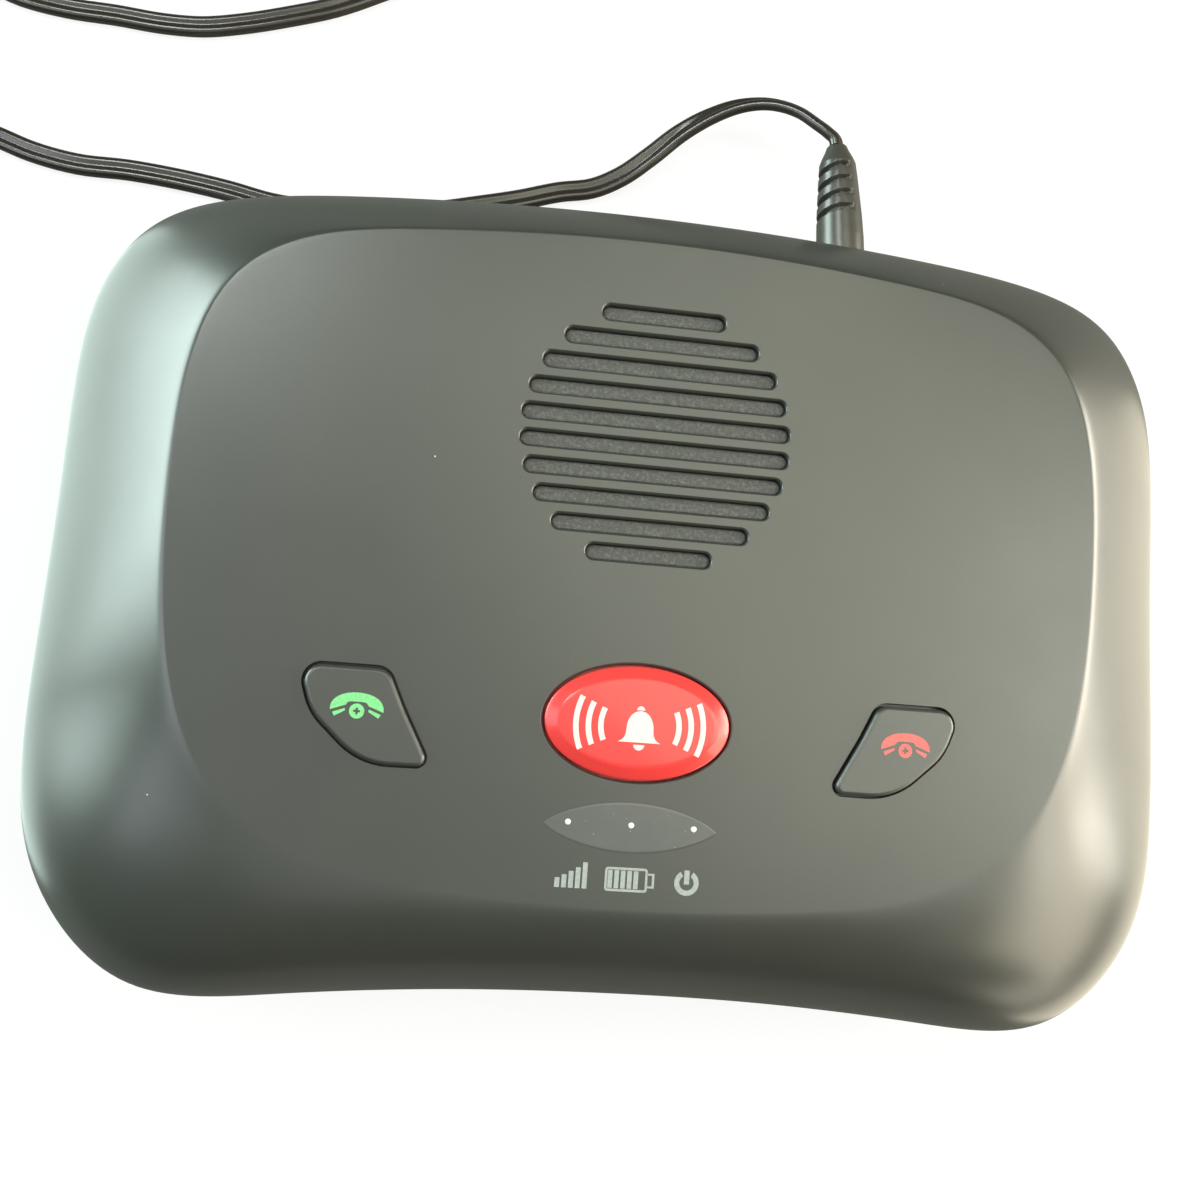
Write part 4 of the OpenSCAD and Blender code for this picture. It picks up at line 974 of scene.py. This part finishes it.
def batteryShapes(battery):
    l, r, low, high, line = (battery[k] for k in ("left", "right", "low", "high", "line"))
    mid = (low + high) / 2
    outer = roundedOutline([(r, high, 0.5), (r, low, 0.5), (l, low, 0.5), (l, high, 0.5)], 15)
    inner = grown(outer, -line)
    wrap = [0] + list(range(len(outer) - 1, -1, -1))
    shapes = [strip(outer[wrap], inner[wrap], onPanel, 1)]
    cap, inside = ([(r - 0.1, mid + half), (end, mid + half), (end, mid - half), (r - 0.1, mid - half)]
                   for end, half in ((r + battery["cap"], 1.1), (r + battery["cap"] - line, 0.8)))
    shapes.append(strip(cap, inside, onPanel, 1))
    for i in range(battery["cells"]):
        x = l + 0.8 + i * battery["cellPitch"]
        shapes.append(bar(x, low + 0.46, battery["cellWidth"], high - low - 0.92))
    return shapes


makeSymbol("batterySymbol", batteryShapes(battery), "inkGrey")

power = {"centre": (9.2, -43.55), "radii": (1.12, 1.9), "angles": (121, 419), "bar": (0.8, 2.1)}
makeSymbol("powerSymbol", [
    band(power["centre"], *power["radii"], *power["angles"], onPanel, 48),
    bar(power["centre"][0], power["centre"][1] - 0.2, *power["bar"])], "inkGrey")

handset = {
    "width": 3.95, "height": 2.5, "foot": 0.25, "power": 2.15, "inner": (1.62, 1.4), "rise": 0.86,
    "dial": 1.12, "arm": 0.5, "hole": 0.18,
    "pad": [(1.78, 0.34), (3.58, -0.34), (3.26, -0.92), (1.7, 0.0)],
}


def handsetShapes(x, y):
    # Receiver: its upper edge is half a superellipse, its lower edge a smaller arch between two
    # straight slanting ends, with a pad under each end and a dial with a plus cut out
    centre = np.array((x, y))
    a = np.linspace(np.pi, 0, 61)
    bend = 2 / handset["power"]
    upper = np.column_stack([
        handset["width"] * np.sign(np.cos(a)) * np.abs(np.cos(a)) ** bend,
        handset["foot"] + handset["height"] * np.sin(a) ** bend])
    reach = np.clip((a - np.pi / 2) / np.radians(52), -1, 1)
    inner = np.column_stack([
        -handset["inner"][0] * np.sin(reach * 1.35) / math.sin(1.35),
        handset["rise"] + (handset["inner"][1] - handset["rise"]) * (1 - reach**4)])
    ends = np.clip((np.abs(a - np.pi / 2) - np.radians(52)) / np.radians(38), 0, 1)[:, None]
    feet = np.column_stack([np.sign(np.cos(a)) * handset["width"], np.full(len(a), handset["foot"] - 0.25)])
    lower = inner * (1 - ends) + feet * ends
    shapes = [strip(centre + upper, centre + lower, onKey, 4)]
    pad = np.array(handset["pad"])
    for side in (-1, 1):
        outline = centre + pad * [side, 1]
        shapes.append(strip(outline[:2], outline[[3, 2]], onKey, 2))
    theta = np.linspace(0, 2 * np.pi, 97)
    folded = np.abs((theta + np.pi / 4) % (np.pi / 2) - np.pi / 4)
    plus = np.minimum(handset["arm"] / np.cos(folded), handset["hole"] / np.maximum(np.sin(folded), 1e-6))
    ray = np.column_stack([np.cos(theta), np.sin(theta)])
    shapes.append(strip(centre + ray * plus[:, None], centre + ray * handset["dial"], onKey, 3))
    return shapes


makeSymbol("answerSymbol", handsetShapes(-42.4, -21.05), "inkGreen", "answer_key")
makeSymbol("endSymbol", handsetShapes(42.55, -21.2), "inkRed", "end_key")

bell = {"centre": (0.2, -20.3), "height": 6.0, "width": 6.6, "waves": (5.6, 7.5, 9.4), "line": 0.85}


def bellShapes(bell):
    # A call bell: its half width narrows from the rim to the crown, with a knob above, a clapper
    # below and three sound waves on each side
    x, y = bell["centre"]
    t = np.linspace(0, 1, 25)
    crown = np.sqrt(np.clip(1 - np.maximum(t - 0.45, 0) ** 2 / 0.3025, 0, 1))
    half = bell["width"] / 2 * (0.62 + 0.38 * np.exp(-t * 9)) * crown
    rows = y - bell["height"] / 2 + 0.5 + t * (bell["height"] - 1.2)
    shapes = [strip(np.column_stack([x - half, rows]), np.column_stack([x + half, rows]), helpHeight, 10)]
    left, right = (arc((x, rows[0] - 0.35), 0.85, start, 270, 10) for start in (180, 360))
    shapes.append(strip(left, right, helpHeight, 4))
    shapes.append(band((x, rows[-1] + 0.1), 0.02, 0.62, 0, 180, helpHeight, 16))
    for reach in bell["waves"]:
        for side in (0, 180):
            shapes.append(band((x, y), reach, reach + bell["line"], side - 24, side + 24, helpHeight, 16))
    return shapes


makeSymbol("helpSymbol", bellShapes(bell), "inkWhite", "help_key")
print("symbols made")

# ---- plug grip, tie and adapter on the lead ----

grip = {
    "pivot": (37.2, 58.5, 12.8), "turn": 5.0,
    "profile": [(61.8, 0.05), (61.8, 3.8), (62.0, 4.15), (62.5, 4.35), (72.0, 4.35), (76.0, 4.2),
                (80.0, 3.9), (84.0, 3.6), (86.4, 3.35), (87.6, 2.85), (88.9, 2.2), (89.7, 1.9),
                (90.0, 1.6), (90.0, 0.05)],
    "grooves": [76.6, 79.35, 82.1, 84.85], "grooveWidth": 0.95, "grooveDepth": 1.15,
    "grooveMiddle": 138.0, "grooveHalf": 58.0, "grooveEase": 16.0,
}


def makeGrip(grip):
    # The radius follows the profile; each groove lowers it over a band that slants round the
    # grip from the left side over the top
    line = np.array(grip["profile"])
    knots = runAlong(line)
    even = np.unique(np.concatenate([knots, np.linspace(0, knots[-1], 230)]))
    s, r = np.interp(even, knots, line[:, 0]), np.interp(even, knots, line[:, 1])
    theta = 2 * np.pi * np.arange(96) / 96
    away = (theta - math.radians(grip["grooveMiddle"]) + np.pi) % (2 * np.pi) - np.pi
    reach = 1 - smoothStep((np.abs(away) - math.radians(grip["grooveHalf"]))
                           / math.radians(grip["grooveEase"]))
    depth = np.zeros((len(s), len(theta)))
    for groove in grip["grooves"]:
        middle = groove + 0.5 - 1.3 * smoothStep((away + 0.9) / 2)
        across = np.abs(s[:, None] - middle[None]) / (grip["grooveWidth"] / 2)
        depth = np.maximum(depth, grip["grooveDepth"] * (1 - smoothStep((across - 0.75) / 0.5)) * reach)
    radius = np.maximum(r[:, None] - depth, 0.05)
    along = np.broadcast_to(s[:, None], radius.shape) - grip["pivot"][1]
    shape = outward(loft(np.stack([radius * np.cos(theta), along, radius * np.sin(theta)], -1)))
    place = Matrix.Translation(grip["pivot"]) @ Matrix.Rotation(math.radians(grip["turn"]), 4, "Z")
    return settle(solid("plugGrip", turned(shape, place)), "grip", "unit", ("plug_grip",), 48)


tie = {"near": 16.7, "far": 27.3, "y": 187.0, "width": 8.0, "middle": 5.85, "height": 11.5, "thick": 0.5}


def makeTie(tie):
    # A strap round one side of the coil: its rounded section is swept round a rounded box
    path = roundedBox(tie["far"] - tie["near"] + 1, tie["height"], 1.6)
    inner = grown(path, -tie["thick"])
    edge = np.array([(0, -1), (0.12, -0.94), (0.3, -0.9), (0.3, 0.9), (0.12, 0.94), (0, 1)])
    loop = np.concatenate([edge, (edge * [-1, 1] + [1, 0])[::-1]])
    x = path[:, None] + (inner - path)[:, None] * loop[None, :, :1]
    y = np.broadcast_to(loop[None, :, 1] * tie["width"] / 2, x.shape[:2])
    shape = outward(loft(np.stack([x[..., 0], y, x[..., 1]], -1), True))
    middle = lead["coilCentre"][0] - (tie["near"] + tie["far"]) / 2
    place = Matrix.Translation((middle, tie["y"], tie["middle"]))
    return settle(solid("cordTie", turned(shape, place)), "tie", "unit", ("cord_tie",), 50)


adapter = {
    "x": 50.0, "y": 160.1, "length": 60.0, "width": 36.0, "height": 26.0, "parting": 15.0, "radius": 5.0,
}


def makeAdapter(adapter):
    # Rounded box lofted upwards: a soft foot, walls that lean in a little, a parting groove at
    # the joint of its two shells and a soft top
    l, w, h, p = adapter["length"], adapter["width"], adapter["height"], adapter["parting"]
    rows = [(h, 2.4), (h - 0.15, 1.6), (h - 0.6, 0.9), (h - 1.4, 0.55), (h - 2.4, 0.4), (p + 0.5, 0.3),
            (p + 0.25, 0.35), (p + 0.2, 0.8), (p - 0.05, 0.8), (p - 0.1, 0.12), (p - 0.35, 0.0),
            (2.4, 0.05), (1.2, 0.3), (0.5, 0.8), (0.12, 1.5), (0.0, 2.3)]
    outline = roundedBox(l, w, adapter["radius"])
    rings = [atHeight(grown(outline, -inset) + [adapter["x"], adapter["y"]], z) for z, inset in rows]
    body = solid("adapterBody", loft(rings))
    carve(body, block((60, adapter["y"]), 22, 25, 3, h - 0.5, h + 1))
    return settle(body, "adapter", "unit", ("adapter_body",), 38, True)


gripPiece = makeGrip(grip)
tiePiece = makeTie(tie)
adapterPiece = makeAdapter(adapter)
print("lead pieces made")

# ---- floor, lamps and world ----

studio = {
    "floorSize": 3.0,
    "floorColour": (0.85, 0.85, 0.84),
    "bounceColour": (0.2, 0.2, 0.195),
    "ownLight": 0.8,
    "ownStrength": 1.05,
}


def makeFloor(studio):
    half = studio["floorSize"] / 2
    mesh = bpy.data.meshes.new("floor")
    corners = [(-half, -half, 0), (half, -half, 0), (half, half, 0), (-half, half, 0)]
    mesh.from_pydata(corners, [], [(0, 1, 2, 3)])
    floor = newObject("floor", mesh)
    material, tree, shader, place = newMaterial("floor", studio["floorColour"], 0.9)
    path = addNode(tree, "ShaderNodeLightPath").outputs
    feed(shader, "Base Color", blendColour(tree, path["Is Camera Ray"], (*studio["bounceColour"], 1),
                                           (*studio["floorColour"], 1)))
    glow = addNode(tree, "ShaderNodeEmission", {"Color": (1, 1, 1, 1), "Strength": studio["ownStrength"]})
    mix = addNode(tree, "ShaderNodeMixShader", {
        "Fac": maths(tree, "MULTIPLY", path["Is Camera Ray"], studio["ownLight"])})
    tree.links.new(shader.outputs["BSDF"], mix.inputs[1])
    tree.links.new(glow.outputs["Emission"], mix.inputs[2])
    tree.links.new(mix.outputs["Shader"], tree.nodes["Material Output"].inputs["Surface"])
    mesh.materials.append(material)


def makeWorld():
    world = bpy.data.worlds.new("studio")
    world.use_nodes = True
    tree = world.node_tree
    path = addNode(tree, "ShaderNodeLightPath").outputs["Is Camera Ray"]
    tree.links.new(path, tree.nodes["Background"].inputs["Strength"])
    tree.nodes["Background"].inputs["Color"].default_value = (1, 1, 1, 1)
    bpy.context.scene.world = world


# Name, place, size, watts and colour. The lamps aim at the panel, the cards shine straight up
lamps = [
    ("leftWindow", (-747, 250, 178), (580, 356), 6.9, (0.81, 1.0, 0.94)),
    ("rightLamp", (790, 120, 178), (480, 356), 6.0, (1.0, 0.94, 0.8)),
    ("frontRight", (687, -250, 345), (450, 450), 2.9, (1.0, 0.9, 0.7)),
    ("highRight", (566, 0, 586), (450, 450), 2.2, (1.0, 1.0, 0.89)),
    ("overhead", (225, 150, 770), (620, 450), 2.0, (0.99, 1.0, 0.82)),
    ("highLeft", (-566, 0, 586), (450, 450), 1.6, (0.85, 0.94, 1.0)),
    ("overheadLeft", (-170, -110, 770), (560, 450), 0.44, (0.97, 1.0, 0.98)),
    ("skylight", (-275, 340, 690), (180, 180), 1.3, (0.94, 1.0, 0.97)),
    ("cornerLamp", (430, -430, 110), (220, 160), 0.28, (1.0, 0.93, 0.76)),
]
cards = [
    ("leftCard", (-158, 20, 2), (130, 200), 0.2, (0.8, 1.0, 0.92)),
    ("rightCard", (158, -45, 2), (130, 240), 0.16, (1.0, 0.9, 0.7)),
]


def makeLamp(name, place, size, power, colour, shape, ahead):
    data = bpy.data.lights.new(name, "AREA")
    data.shape = shape
    data.size, data.size_y = size[0] * mm, size[1] * mm
    data.energy = power
    data.color = colour
    light = newObject(name, data)
    light.location = Vector(place) * mm
    light.visible_camera = False
    light.rotation_mode = "QUATERNION"
    light.rotation_quaternion = ahead.to_track_quat("-Z", "Y")


makeFloor(studio)
makeWorld()
for lamp in lamps:
    makeLamp(*lamp, "RECTANGLE", Vector((0, 0, 20)) - Vector(lamp[1]))
for card in cards:
    makeLamp(*card, "ELLIPSE", Vector((0, 0, 98)))
bpy.context.scene.view_settings.view_transform = "Standard"
print("studio ready")
